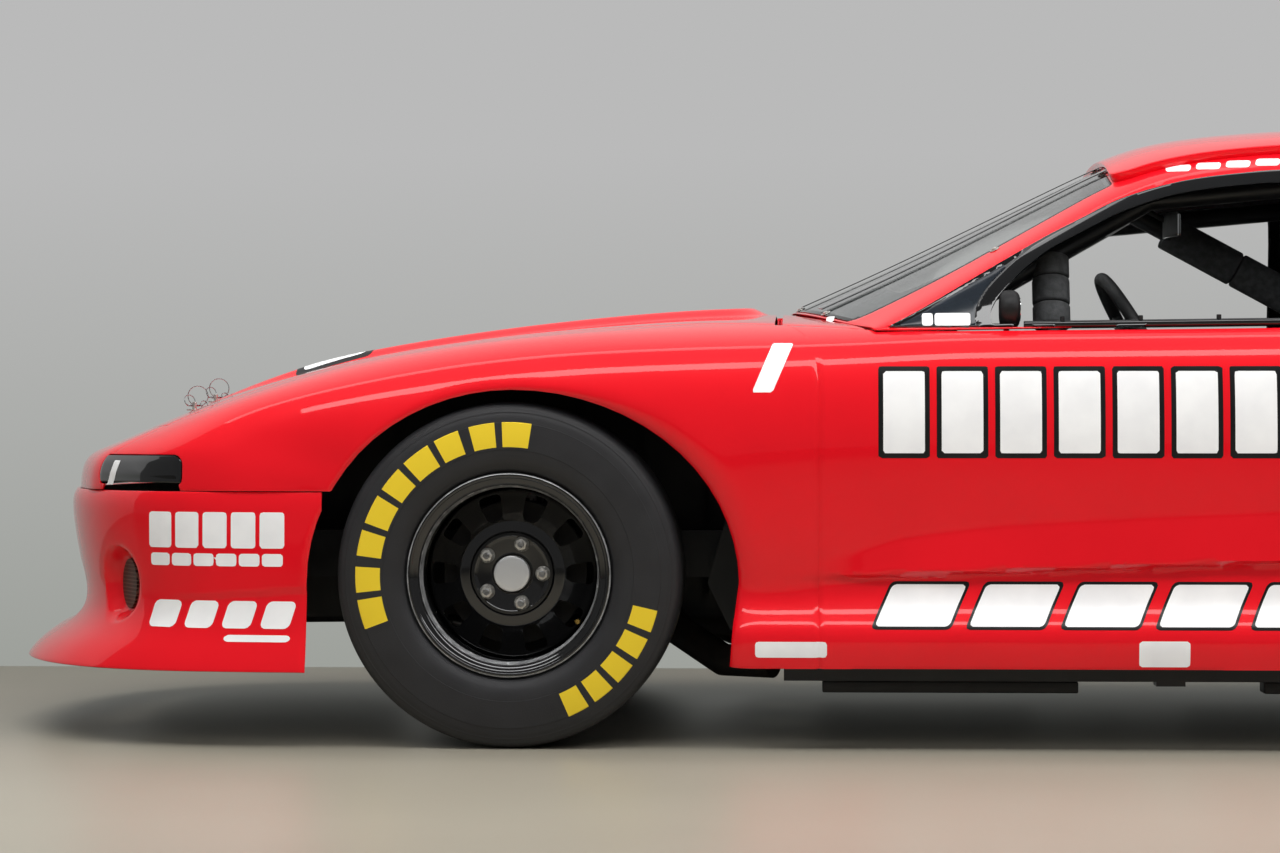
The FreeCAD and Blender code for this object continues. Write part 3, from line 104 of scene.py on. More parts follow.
# %% Colour and node helpers
def linear(code):
    """The linear colour of an sRGB hex value."""
    parts = [int(code[i:i + 2], 16) / 255 for i in (1, 3, 5)]
    return [p / 12.92 if p <= 0.04045 else ((p + 0.055) / 1.055) ** 2.4 for p in parts] + [1.0]


def add(tree, kind, inputs=(), **settings):
    """Adds a node, sets its properties, then fills or links its sockets."""
    node = tree.nodes.new("ShaderNode" + kind)
    for name, value in settings.items():
        setattr(node, name, value)
    for name, value in dict(inputs).items():
        if isinstance(value, bpy.types.NodeSocket):
            tree.links.new(value, node.inputs[name])
        else:
            node.inputs[name].default_value = value
    return node


def new_finish(name):
    """An empty material, its tree and the object's own coordinates."""
    material = bpy.data.materials.new(name)
    material.use_nodes = True
    tree = material.node_tree
    tree.nodes.clear()
    return material, tree, add(tree, "TexCoord").outputs["Object"]


def close_finish(tree, shader):
    add(tree, "OutputMaterial", {"Surface": shader.outputs[0]})


def tones(ramp, dark, light, spots=(0.0, 1.0)):
    """Sets the two ends of a colour ramp and gives its colour socket."""
    for stop, colour, spot in zip(ramp.color_ramp.elements, (dark, light), spots):
        stop.color, stop.position = linear(colour), spot
    return ramp.outputs["Color"]

# %% [markdown]
# ## Finishes
# Each finish starts from what the real one is and how its surface was made.  Pattern sizes are
# real ones in millimetres: a noise node repeats about once per unit, so its scale is 1000 / size.

# %% Body paint: red enamel under clear coat, sprayed over a composite shell
# The eye gets a deep even red, a sharp coat reflection and the faint waviness of sprayed lacquer.
red_paint, tree, place = new_finish("red_enamel_clear_coated")
orange_peel = add(tree, "TexNoise", {"Vector": place, "Scale": 1000 / 9, "Detail": 1.0})
long_wave = add(tree, "TexNoise", {"Vector": place, "Scale": 1000 / 160, "Detail": 2.0})
tint = tones(add(tree, "ValToRGB", {"Fac": long_wave.outputs["Fac"]}), "#DE0A1A", "#E80D1E")
peel = add(tree, "Bump", {"Height": orange_peel.outputs["Fac"], "Strength": 0.04, "Distance": 0.0004})
close_finish(tree, add(tree, "BsdfPrincipled", {
    "Base Color": tint, "Roughness": 0.42, "IOR": 1.5, "Specular IOR Level": 0.1, "Coat Weight": 1.0,
    "Coat Roughness": 0.03, "Coat IOR": 1.42, "Coat Normal": peel.outputs["Normal"]}))

# %% Raw composite: the unpainted inside of the shell, black woven cloth set in resin
# The eye gets a dull dark weave, drawn coarser than the real 2 mm tow so that it shows.
raw_composite, tree, place = new_finish("black_composite_weave")
weave = add(tree, "TexChecker", {"Vector": place, "Scale": 1000 / 8, "Color1": linear("#1B1B1D"),
                                 "Color2": linear("#26262A")})
resin = add(tree, "TexNoise", {"Vector": place, "Scale": 1000 / 40, "Detail": 3.0})
dullness = add(tree, "MapRange", {"Value": resin.outputs["Fac"], "To Min": 0.5, "To Max": 0.75})
close_finish(tree, add(tree, "BsdfPrincipled", {
    "Base Color": weave.outputs["Color"], "Roughness": dullness.outputs["Result"]}))
print("finishes so far", len(bpy.data.materials))

# %% [markdown]
# ## Body skins
# The body is one compound curve that no primitive can start, so its panels are laid over nets of
# control points, the same ones that the CAD panels use: x is millimetres behind the front axle, y
# is across with the left side negative, and z is height.  A panel is then an even grid of faces
# over a part of its net, trimmed to its openings, shaped by small moves along its normals, and
# given its wall, its edge and its smooth shading with modifiers.

# %% Spline net helpers
STEP = 1e-3


def weights(count, at):
    """How much each control point of a clamped cubic spline counts at each parameter."""
    knots = np.concatenate([[0.0] * 3, np.arange(count - 2.0), [count - 3.0] * 3])
    at = np.clip(at, 0, count - 3 - 1e-9)[:, None]
    share = ((knots[:-1] <= at) & (at < knots[1:])).astype(float)
    for degree in (1, 2, 3):
        rise, fall = knots[degree:-1] - knots[:-degree - 1], knots[degree + 1:] - knots[1:-degree]
        up = np.where(rise > 0, (at - knots[:-degree - 1]) / np.where(rise > 0, rise, 1), 0)
        down = np.where(fall > 0, (knots[degree + 1:] - at) / np.where(fall > 0, fall, 1), 0)
        share = up * share[:, :-1] + down * share[:, 1:]
    return share


def over(net):
    """A function that gives the points of the net's surface at parameters u and v."""
    net = np.array(net, float)
    return lambda u, v: np.einsum("ki,kj,ijx->kx", weights(net.shape[0], u), weights(net.shape[1], v), net)


def differences(value, u, v):
    """How much a value changes across a small step of u and of v."""
    return value(u + STEP, v) - value(u - STEP, v), value(u, v + STEP) - value(u, v - STEP)


def lengths(surface, u, v):
    """Millimetres of surface per unit of each parameter."""
    return [np.linalg.norm(run, axis=1) / (2 * STEP) for run in differences(surface, u, v)]


def normals(surface, u, v):
    across = np.cross(*differences(surface, u, v))
    return across / np.linalg.norm(across, axis=1)[:, None]


def every_pair(us, vs):
    """All pairings of two rows of parameters, as two flat rows."""
    return [grid.ravel() for grid in np.meshgrid(us, vs, indexing="ij")]


def at(line, x):
    return np.interp(x, [p[0] for p in line], [p[1] for p in line])

# %% The body's own lines and stations
CENTRE_LINE = ((-975, 609), (-875, 646), (-781, 693), (-642, 745), (-457, 797), (-271, 832),
               (-87, 860), (98, 884), (282, 902), (450, 915), (557, 919), (720, 919), (1000, 918),
               (2500, 930), (2794, 975), (3000, 984), (3400, 974), (3850, 962), (3900, 948))
SEAM_LINE = ((-890, 600), (-830, 628), (-740, 668), (-600, 725), (-400, 788), (-200, 826), (0, 852),
             (200, 868), (400, 880), (560, 886), (640, 884), (700, 874), (771, 853), (1567, 859),
             (2100, 872), (2500, 888), (2700, 915), (2850, 955), (3000, 972), (3400, 966),
             (3850, 950), (3900, 935))
CROWN_LINE = ((-760, 600), (-674, 655), (-574, 712), (-448, 752), (-301, 788), (-138, 820),
              (40, 842), (250, 853), (500, 855), (770, 840), (1900, 850), (2400, 868), (2700, 900),
              (3000, 936), (3400, 943), (3850, 925))
SHOULDER_LINE = ((-650, 600), (-561, 645), (-461, 688), (-340, 725), (-205, 755), (0, 785),
                 (250, 800), (500, 800), (800, 792), (1500, 798), (2300, 812), (2794, 845),
                 (3200, 872), (3700, 865))
# Each station: x on the centre line, how far the ends lag, the sweep at the screen, then half
# widths at seam, crown, shoulder, side, waist, low and tuck, and the height of the nose's edge.
STATIONS = (
    (-1033, 650, 0, 640, 780, 850, 885, 895, 905, 905, 525),
    (-1033, 658, 0, 640, 780, 850, 885, 896, 905, 905, 562),
    (-1020, 655, 0, 642, 783, 853, 888, 897, 905, 905, 597),
    (-975, 622, 0, 642, 786, 858, 892, 900, 910, 905, 0),
    (-900, 565, 0, 642, 790, 866, 900, 905, 915, 905, 0),
    (-780, 490, 0, 641, 794, 880, 912, 915, 920, 905, 0),
    (-620, 400, 0, 640, 797, 893, 925, 925, 925, 890, 0),
    (-430, 300, 0, 640, 800, 905, 934, 934, 930, 890, 0),
    (-220, 190, 0, 640, 800, 912, 938, 938, 935, 890, 0),
    (0, 90, 0, 640, 800, 915, 938, 938, 935, 890, 0),
    (190, 20, 60, 640, 802, 914, 937, 936, 930, 890, 0),
    (370, 0, 170, 645, 815, 905, 928, 920, 908, 890, 0),
    (545, 0, 275, 811, 848, 897, 916, 906, 894, 890, 0),
    (720, 0, 290, 816, 850, 896, 915, 905, 893, 890, 0),
    (1000, 0, 250, 817, 850, 896, 915, 905, 893, 890, 0),
    (1300, 0, 200, 818, 850, 896, 915, 905, 893, 890, 0),
    (1600, 0, 150, 818, 850, 896, 915, 905, 893, 890, 0),
    (1900, 0, 100, 818, 850, 896, 915, 905, 895, 892, 0),
    (2200, 0, 50, 817, 850, 898, 920, 912, 905, 890, 0),
    (2500, 0, 0, 812, 848, 902, 930, 930, 925, 890, 0),
    (2794, 0, 0, 725, 835, 906, 936, 936, 933, 890, 0),
    (3060, -10, 0, 655, 820, 904, 934, 934, 928, 890, 0),
    (3330, -60, 0, 640, 805, 892, 922, 920, 912, 890, 0),
    (3560, -150, 0, 638, 792, 878, 908, 906, 900, 890, 0),
    (3740, -240, 0, 635, 780, 866, 898, 898, 893, 885, 0),
    (3860, -310, 0, 632, 770, 858, 892, 893, 890, 882, 0),
    (3900, -340, 0, 630, 765, 855, 890, 891, 888, 880, 0),
)
PLAN_HALF, WAIST, LOW, TUCK, SILL = 895.0, 525, 380, 300, 168
TAIL_SIDE_X, TAIL_RAMP_X, TAIL_BOTTOM, NOSE_SIDE_X = 3560.0, 3250.0, 235, -383.0
FLARE = ((38, 262), (48, 238), (46, 200), (40, SILL))


def plan_lag(share):
    """How far a rounded end falls back, 0 on the centre line and 1 at the side."""
    return 1 - (1 - min(abs(share), 1.0) ** 2.5) ** 0.4


def station_rows(station):
    """Control points of one station from the centre line out and down to the sill."""
    x, bow, sweep, seam, crown, shoulder, side, waist, low, tuck, rise = station

    def lagged(y):
        return x + bow * plan_lag(y / PLAN_HALF) + sweep * min(y / PLAN_HALF, 1.0) ** 2

    def upper(line, y):
        return rise if rise else at(line, lagged(y))

    z0, z1 = upper(CENTRE_LINE, 0), upper(SEAM_LINE, seam)
    z2, z3 = upper(CROWN_LINE, crown), upper(SHOULDER_LINE, shoulder)
    rows = [(0, z0), (seam * 0.5, z0 - (z0 - z1) * 0.28), (seam - 45, z1 + (z0 - z1) * 0.18), (seam, z1),
            (crown, z2), (shoulder, z3), (side, WAIST + 0.45 * (z3 - WAIST)), (waist, WAIST),
            (low, LOW), (tuck, TUCK)]
    tail = min(max((lagged(tuck) - TAIL_RAMP_X) / (TAIL_SIDE_X - TAIL_RAMP_X), 0), 1)
    rows += [(tuck + out * (1 - 0.75 * tail), z + (TAIL_BOTTOM - SILL) * tail) for out, z in FLARE]
    return [(lagged(y), y, z) for y, z in rows]


def full_width(rows):
    return [(x, -y, z) for x, y, z in reversed(rows)] + rows[1:]


BODY = over([full_width(station_rows(station)) for station in STATIONS])

# %% Nets of the two bumper covers and of the greenhouse
AROUND = (0, 0.235, 0.47, 0.7, 0.85, 0.93, 0.975, 1.0)
FRONT_LEVELS = ((525, -1033, 895), (512, -1046, 900), (470, -1045, 903), (400, -1033, 904),
                (345, -1021, 904), (300, -1013, 904), (262, -1022, 906), (228, -1062, 912),
                (198, -1112, 921), (167, -1142, 929), (157, -1146, 931))
REAR_LEVELS = ((1.0, 3900, 891), (0.93, 3916, 897), (0.8, 3926, 902), (0.65, 3930, 905),
               (0.5, 3930, 905), (0.35, 3926, 904), (0.2, 3912, 900), (0.08, 3895, 895),
               (0.0, 3882, 892))
TAIL_TOP = dict(zip(AROUND, (946, 944, 941, 934, 924, 908, 885, 850)))


def wrap_net(levels, side_x, height):
    """A net that runs round one end of the body, from the right side to the left."""
    return [[(end_x + (side_x - end_x) * plan_lag(share), sign * half * share, height(share, level))
             for level, end_x, half in levels]
            for sign, shares in ((1, AROUND[:0:-1]), (-1, AROUND)) for share in shares]


FRONT_WRAP = over(wrap_net(FRONT_LEVELS, NOSE_SIDE_X, lambda share, level: level)[::-1])
REAR_WRAP = over(wrap_net(REAR_LEVELS, TAIL_SIDE_X, lambda share, level: TAIL_BOTTOM
                          + (TAIL_TOP[share] - TAIL_BOTTOM) * level))
# Each row: centre x, z; screen or roof edge x, y, z; the trim's outer line x, y, z; belt x, y, z.
GLASSHOUSE = (
    (552, 911, 700, 720, 863, 732, 792, 858, 742, 808, 855),
    (740, 993, 868, 680, 943, 905, 752, 945, 900, 813, 854),
    (920, 1078, 1000, 640, 1020, 1055, 702, 1033, 1030, 815, 854),
    (1105, 1166, 1133, 600, 1097, 1205, 650, 1116, 1170, 816, 855),
    (1288, 1253, 1267, 562, 1177, 1325, 620, 1166, 1320, 817, 856),
    (1400, 1285, 1400, 555, 1215, 1430, 606, 1190, 1440, 817, 857),
    (1600, 1303, 1600, 552, 1237, 1600, 598, 1202, 1600, 818, 859),
    (1850, 1312, 1850, 550, 1244, 1850, 596, 1205, 1850, 818, 865),
    (2100, 1301, 2100, 548, 1231, 2090, 596, 1192, 2100, 818, 873),
    (2330, 1268, 2310, 545, 1197, 2290, 606, 1155, 2320, 816, 881),
    (2550, 1190, 2500, 560, 1122, 2470, 645, 1070, 2480, 812, 890),
    (2770, 1090, 2720, 598, 1042, 2650, 690, 990, 2640, 775, 912),
    (2980, 987, 2950, 645, 975, 2850, 712, 960, 2790, 738, 944),
)


def glass_rows(row):
    xc, zc, xe, ye, ze, xt, yt, zt, xb, yb, zb = row
    rows = [(xc, 0, zc)]
    for share in (0.45, 0.8):
        fall = share ** 2.2
        rows.append((xc + (xe - xc) * fall, ye * share, zc + (ze - zc) * fall))
    rows += [(xe, ye, ze), (xt, yt, zt), ((xt + xb) / 2, (yt + yb) / 2 + 12, (zt + zb) / 2)]
    return rows + [(xb, yb, zb)]


GLASS = over([full_width(glass_rows(row)) for row in GLASSHOUSE])
print("nets ready:", len(STATIONS), "stations,", len(GLASSHOUSE), "glasshouse rows")

# %% [markdown]
# ## Laying a skin
# A grid follows the net at even real steps.  Where an opening's edge crosses it, nearby grid
# points slide onto the edge and the faces left over are clipped there, so the edge comes out as
# one clean curve instead of a staircase.  `keep` gives each point's distance inside the edge.

# %% Even steps along a surface
def even_steps(surface, low, high, other, along_u, step):
    """Parameters from low to high whose points lie a real step apart."""
    fine = np.linspace(low, high, 400)
    rest = np.full(400, float(other))
    points = surface(fine, rest) if along_u else surface(rest, fine)
    run = np.concatenate([[0], np.cumsum(np.linalg.norm(np.diff(points, axis=0), axis=1))])
    count = max(int(round(run[-1] / step)), 2)
    return np.interp(np.linspace(0, run[-1], count + 1), run, fine)

# %% [markdown]
# A grid point close to an opening's edge slides onto it by Newton steps, which read how fast the
# distance changes along u and v.  Where a grid line still crosses the edge, halving finds the spot.

# %% Points on an opening's edge
def slide_to_edge(surface, gap, us, vs, inside, near):
    """Moves the parameters of points close to the edge onto it, a few Newton steps."""
    for _ in range(3):
        u, v = us[near], vs[near]
        long_u, long_v = lengths(surface, u, v)
        rise_u, rise_v = differences(gap, u, v)
        slope_u, slope_v = rise_u / (2 * STEP) / long_u, rise_v / (2 * STEP) / long_v
        size = np.maximum(slope_u ** 2 + slope_v ** 2, 0.2)
        now = gap(u, v)
        us[near] = u - now * slope_u / size / long_u
        vs[near] = v - now * slope_v / size / long_v
    inside[near] = 0.0


def edge_crossings(gap, us, vs, inside, pairs):
    """The parameters where each grid edge in pairs meets the opening's edge."""
    a, b = pairs.T
    low, high = np.zeros(len(a)), np.ones(len(a))

    def between(share):
        return us[a] + (us[b] - us[a]) * share, vs[a] + (vs[b] - vs[a]) * share

    for _ in range(12):
        middle = (low + high) / 2
        same = np.sign(gap(*between(middle))) == np.sign(inside[a])
        low, high = np.where(same, middle, low), np.where(same, high, middle)
    return between((low + high) / 2)

# %% The skin function
def laid_grid(surface, span, step, keep, shape, middle=None):
    """Points and faces of a trimmed grid over span = (u1, u2, v1, v2), in millimetres."""
    u1, u2, v1, v2 = span
    middle = middle or ((u1 + u2) / 2, (v1 + v2) / 2)
    rows = even_steps(surface, u1, u2, middle[1], True, step)
    columns = even_steps(surface, v1, v2, middle[0], False, step)
    us, vs = every_pair(rows, columns)
    count = len(columns)
    corner = (np.arange(len(rows) - 1)[:, None] * count + np.arange(count - 1)).ravel()
    quads = np.stack([corner, corner + count, corner + count + 1, corner + 1], axis=1)
    faces = quads.tolist()
    if keep:
        def gap(u, v):
            return keep(surface(u, v), u, v)

        def sides_of(quad):
            return list(zip(quad, quad[1:] + quad[:1]))

        inside = gap(us, vs)
        border = (us <= u1) | (us >= u2) | (vs <= v1) | (vs >= v2)
        near = np.flatnonzero((np.abs(inside) < 0.3 * step) & ~border)
        slide_to_edge(surface, gap, us, vs, inside, near)
        around = inside[quads]
        faces = quads[(around >= 0).all(1) & (around > 0).any(1)].tolist()
        mixed = quads[(around > 0).any(1) & (around < 0).any(1)].tolist()
        crossing = sorted({(min(a, b), max(a, b)) for quad in mixed for a, b in sides_of(quad)
                           if inside[a] * inside[b] < 0})
        if crossing:
            u, v = edge_crossings(gap, us, vs, inside, np.array(crossing))
            number = {pair: len(us) + place for place, pair in enumerate(crossing)}
            us, vs = np.concatenate([us, u]), np.concatenate([vs, v])
        for quad in mixed:
            ring = []
            for a, b in sides_of(quad):
                if inside[a] >= 0:
                    ring.append(a)
                if inside[a] * inside[b] < 0:
                    ring.append(number[(min(a, b), max(a, b))])
            if len(ring) > 2:
                faces.append(ring)
    used = np.zeros(len(us), bool)
    used[[place for face in faces for place in face]] = True
    renumber = np.cumsum(used) - 1
    us, vs = us[used], vs[used]
    points = surface(us, vs)
    if shape:
        points = shape(points, normals(surface, us, vs), us, vs)
    return points, [[int(renumber[place]) for place in face] for face in faces]

# %% [markdown]
# A piece is a mesh with its finishes.  Modifiers are added and applied one at a time, and shading
# is smooth except across edges that turn more than a given angle, as where sheet metal is folded.

# %% Making, joining and rounding pieces
def into_scene(name, data):
    """A new object in the scene that shows a mesh, a lamp or a camera."""
    thing = bpy.data.objects.new(name, data)
    bpy.context.scene.collection.objects.link(thing)
    return thing


def make_mesh(name, points, faces, *finishes):
    """A mesh object from millimetre points, carried to its place behind the nose."""
    points = np.asarray(points, float) / 1000 + np.array([AXLE_X, 0, 0])
    mesh = bpy.data.meshes.new(name)
    mesh.from_pydata(points.tolist(), [], faces)
    mesh.validate()
    return coated(into_scene(name, mesh), *finishes)


def coated(piece, *finishes):
    """Puts the finishes on a piece in place of what it had."""
    piece.data.materials.clear()
    for finish in finishes:
        piece.data.materials.append(finish)
    return piece


def placed(name):
    """Names the piece that was just added and sets its origin at the world's."""
    piece = bpy.context.object
    piece.name = piece.data.name = name
    bpy.ops.object.transform_apply(location=True, rotation=True, scale=True)
    return piece


def select_only(*pieces):
    bpy.ops.object.select_all(action="DESELECT")
    for piece in pieces:
        piece.select_set(True)
    bpy.context.view_layer.objects.active = pieces[0]


def joined(name, *pieces):
    select_only(*pieces)
    bpy.ops.object.join()
    pieces[0].name = pieces[0].data.name = name
    return pieces[0]


def changed(piece, kind, **settings):
    """Adds a modifier, sets it and applies it."""
    modifier = piece.modifiers.new(kind.lower(), kind)
    for name, value in settings.items():
        setattr(modifier, name, value)
    select_only(piece)
    bpy.ops.object.modifier_apply(modifier=modifier.name)
    return piece


def rounded(piece, width, segments, degrees):
    """Rounds the edges that turn more than the angle; the width is in millimetres."""
    return changed(piece, "BEVEL", width=width / 1000, segments=segments, limit_method="ANGLE",
                   angle_limit=math.radians(degrees))


def smooth(piece, degrees=32):
    select_only(piece)
    bpy.ops.object.shade_smooth_by_angle(angle=math.radians(degrees))
    return piece

# %% [markdown]
# Each finished piece rides on the body that carries it and hides the CAD node it stands for.  The
# car is even on both sides, so seating a left piece also makes its right twin, a mirrored copy.

# %% Twins and seats
def duplicate(piece, old, new, move):
    """The same piece moved by a matrix, with its own mesh and one word of its name changed."""
    copy = into_scene(piece.name.replace(old, new), piece.data.copy())
    copy.data.name = copy.name
    copy.data.transform(move)
    return copy


def seat(piece, body="root", stands=None, slot=None):
    """Lets a piece ride on its body and stand for its CAD node; a left one gets its right twin."""
    if piece.name.startswith("left_"):
        twin = duplicate(piece, "left", "right", Matrix.Diagonal((1, -1, 1, 1)))
        twin.data.flip_normals()
        seat(twin, body.replace("left", "right"), stands and stands.replace("left", "right"), slot)
    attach(piece, body)
    if stands:
        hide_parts(stands)

# %% Distances to the openings' edges
def ring_distance(ring, x, z):
    """Distance to a closed ring of points, positive outside it."""
    start = np.array(ring, float)
    run = np.roll(start, -1, axis=0) - start
    dx, dz = x[:, None] - start[:, 0], z[:, None] - start[:, 1]
    t = np.clip((dx * run[:, 0] + dz * run[:, 1]) / (run ** 2).sum(1), 0, 1)
    gap = np.hypot(dx - t * run[:, 0], dz - t * run[:, 1]).min(1)
    end = np.roll(start, -1, axis=0)
    straddles = (start[:, 1] > z[:, None]) != (end[:, 1] > z[:, None])
    rise = np.where(run[:, 1] == 0, 1e-9, run[:, 1])
    crosses = straddles & (x[:, None] < start[:, 0] + dz * run[:, 0] / rise)
    return np.where(crosses.sum(1) % 2 == 1, -gap, gap)


def ring_out(points, ring):
    """Distance of surface points outside a ring drawn in side view."""
    return ring_distance(ring, points[:, 0], points[:, 2])


def smooth_ring(points, sharp, steps=5):
    """A ring through the points, curved everywhere except at the corners listed as sharp."""
    ring = []
    count = len(points)
    for place in range(count):
        before, a, b, after = (np.array(points[(place + k) % count], float) for k in (-1, 0, 1, 2))
        before = a if place in sharp else before
        after = b if (place + 1) % count in sharp else after
        for t in np.arange(steps) / steps:
            ring.append(0.5 * (2 * a + (b - before) * t + (2 * before - 5 * a + 4 * b - after) * t ** 2
                               + (3 * a - before - 3 * b + after) * t ** 3))
    return np.array(ring)


def arch_distance(x, z, hub_x, front=420, rear=464, top=735):
    """Distance outside a wheel arch: a quarter oval ahead of the hub, a longer one behind."""
    hub = 0.46 * top
    peak = hub_x + 6
    turn = np.radians(np.arange(180, 89, -6))
    ahead = [(peak + front * math.cos(a), hub + (top - hub) * math.sin(a)) for a in turn]
    behind = [(peak - rear * math.cos(a), hub + (top - hub) * math.sin(a)) for a in turn[-2::-1]]
    foot = [(peak + rear - 12, hub * 0.8), (peak + rear - 34, -60), (peak - front, -60)]
    return ring_distance(ahead + behind + foot, x, z)


def box_distance(x, y, x1, x2, y1, y2, corner):
    """Distance outside a rectangle with rounded corners."""
    dx = np.abs(x - (x1 + x2) / 2) - (x2 - x1) / 2 + corner
    dy = np.abs(y - (y1 + y2) / 2) - (y2 - y1) / 2 + corner
    return np.hypot(np.maximum(dx, 0), np.maximum(dy, 0)) + np.minimum(np.maximum(dx, dy), 0) - corner


FAR = 999  # stands for "no edge near here"


def ramp(value, low, high):
    """Rises smoothly from 0 at low to 1 at high."""
    t = np.clip((value - low) / (high - low), 0, 1)
    return t * t * (3 - 2 * t)


def bell(value, centre, width):
    return np.exp(-((value - centre) / width) ** 2)


print("skin tools ready")

# %% [markdown]
# ## The side skins
# Each flank is one moulding that the builder split at the door line.  The wheel arches have a lip
# that rolls inwards, wide behind the wheel and narrow ahead of it.  A shelf swells out above a
# sharp crease low on the door, and the door's outline is only a groove pressed in the surface.

# %% Side shaping
SEAM_V, FULL_V, DOOR_FRONT_U, DOOR_REAR_U, TAIL_U = 9, 24, 10.33, 15.0, 24.0
SEAM_STEP, LID_STEP = 0.0045, 0.022
GROOVE_DEEP, GROOVE_WIDE = 4.5, 5.0
SHELF_TOP = ((640, 385), (788, 428), (1000, 455), (1300, 472), (1558, 483), (2000, 478), (2250, 440))
LAMP = (0.14, 2.3, 6.8, 9.2)
LAMP_REAR_X, LAMP_FOOT, LAMP_HEAD, FENDER_FOOT_Z = -683, 529, 599, 525.3


def lip_roll(x, z):
    """How far the skin rolls inwards round both wheel arches."""
    inwards = np.zeros(len(x))
    for hub_x in (0, WHEELBASE):
        gap = arch_distance(x, z, hub_x)
        behind, ahead = ramp(x - hub_x, 60, 360), ramp(hub_x - x, 60, 360)
        wide = 24 + 30 * behind - 10 * ahead
        deep = 8 + 13 * behind - 3 * ahead
        left = 1 - np.clip(gap / wide, 0, 1)
        inwards += deep * (1 - np.sqrt(1 - 0.97 * left ** 2))
    return inwards


def shelf(x, z):
    """The swelling above the low crease and the sharp undercut below it."""
    crease = 352 + (x - 553) * 0.0358
    top = at(SHELF_TOP, x)
    strength = ramp(x, 560, 900) * (1 - ramp(x, 2000, 2250))
    swell = 12 * np.clip((top - z) / np.maximum(top - crease, 1), 0, 1) * ramp(z, crease - 9, crease)
    under = 5 * ramp(z, crease - 70, crease - 9) * (1 - ramp(z, crease - 9, crease))
    return strength * swell - ramp(x, 540, 760) * (1 - ramp(x, 2000, 2250)) * under


def side_shape(points, outwards, u, v):
    x, y, z = points.T
    lift = shelf(x, z) - lip_roll(x, z)
    reach = lengths(BODY, u, v)[0]
    for seam_u, fade in ((DOOR_FRONT_U, 1 - ramp(z, 765, 815)), (DOOR_REAR_U, 1 - ramp(z, 790, 830))):
        lift = lift - GROOVE_DEEP * bell((u - seam_u) * reach, 0, GROOVE_WIDE) * fade
    return points + outwards * lift[:, None]

# %% Where the fender, its lamp opening and the quarter end
LAMP_LONG, LAMP_WIDE = (length[0] for length in lengths(BODY, np.array([0.9]), np.array([8.3])))


def lamp_distance(points, u, v, right=False):
    """Distance outside the left lamp's opening, or outside the right one."""
    v = FULL_V - v if right else v
    u1, u2, v1, v2 = LAMP
    squared = box_distance(points[:, 0], points[:, 2], -2000, LAMP_REAR_X, LAMP_FOOT, LAMP_HEAD, 22)
    patch = box_distance(u * LAMP_LONG, v * LAMP_WIDE, u1 * LAMP_LONG, u2 * LAMP_LONG,
                         v1 * LAMP_WIDE, v2 * LAMP_WIDE, 24)
    return np.maximum(squared, patch)


def fender_keep(points, u, v):
    x, y, z = points.T
    above_seam = np.where(x < -300, z - FENDER_FOOT_Z, FAR)
    return np.minimum.reduce([arch_distance(x, z, 0), above_seam, lamp_distance(points, u, v) - 1])


def quarter_keep(points, u, v):
    x, y, z = points.T
    covered = np.where(np.abs(y) > 880 - (x - TAIL_SIDE_X) * 0.05, TAIL_SIDE_X - x, FAR)
    return np.minimum(arch_distance(x, z, WHEELBASE), covered)

# %% [markdown]
# A moulded panel has a wall of about 5 mm and a rim that is rubbed smooth.  Solidify gives the wall,
# and a bevel that reads edge weights rounds the rim, except where two panels meet flush.

# %% Walls and rims
RIM_ANGLE = 0.9


def wall_edges(piece, spare):
    """Marks the rim edges that the bevel rounds, leaving out those that meet a neighbour."""
    work = bmesh.new()
    work.from_mesh(piece.data)
    layer = work.edges.layers.float.new("bevel_weight_edge")
    for edge in work.edges:
        if len(edge.link_faces) == 2 and edge.calc_face_angle() > RIM_ANGLE:
            middle = (edge.verts[0].co + edge.verts[1].co) / 2
            edge[layer] = 0.0 if spare and spare(middle) else 1.0
    work.to_mesh(piece.data)
    work.free()


def walled(name, surface, span, step, keep=None, shape=None, wall=5, edge=1.2, middle=None,
           spare=None, finishes=None, **seating):
    """A finished skin: laid, trimmed, shaped, thickened, rounded and, unless body is None, seated."""
    points, faces = laid_grid(surface, span, step, keep, shape, middle)
    finishes = finishes or (red_paint, raw_composite)
    piece = make_mesh(name, points, faces, *finishes)
    changed(piece, "SOLIDIFY", thickness=wall / 1000, offset=-1, material_offset=len(finishes) - 1,
            material_offset_rim=0)
    wall_edges(piece, spare)
    changed(piece, "BEVEL", width=edge / 1000, segments=2, limit_method="WEIGHT")
    print(name, len(smooth(piece).data.polygons), "faces")
    if seating.get("body", "root"):
        seat(piece, **seating)
    return piece


DOOR_LINES = ((560, 700), (1440, 1660))


def at_door(point):
    """True close to the front and rear lines of the door, where two skins meet flush."""
    x = (point.x - AXLE_X) * 1000
    return any(low < x < high for low, high in DOOR_LINES)

# %% Lay the side skins and mirror them
for part, front_u, rear_u, step, keep, middle, flush_below in (
        ("left_fender", 0, DOOR_FRONT_U, 7, fender_keep, (6, 6.5), 0.87),
        ("left_door", DOOR_FRONT_U, DOOR_REAR_U, 7.5, None, (12, 5), 0.84),
        ("left_quarter", DOOR_REAR_U, TAIL_U, 10, quarter_keep, (19, 6.5), 0.84)):
    walled(part + "_skin", BODY, (front_u, rear_u, 0, SEAM_V), step, keep, side_shape, middle=middle,
           spare=lambda p: at_door(p) and p.z < flush_below, stands=part, slot="red_paint")

# %% [markdown]
# ## Hood, cowl, nose and deck
# The hood carries a raised tongue for the engine's intake: flat on top, with steep sides, fading
# into the nose at the front and rounded off before the windscreen.

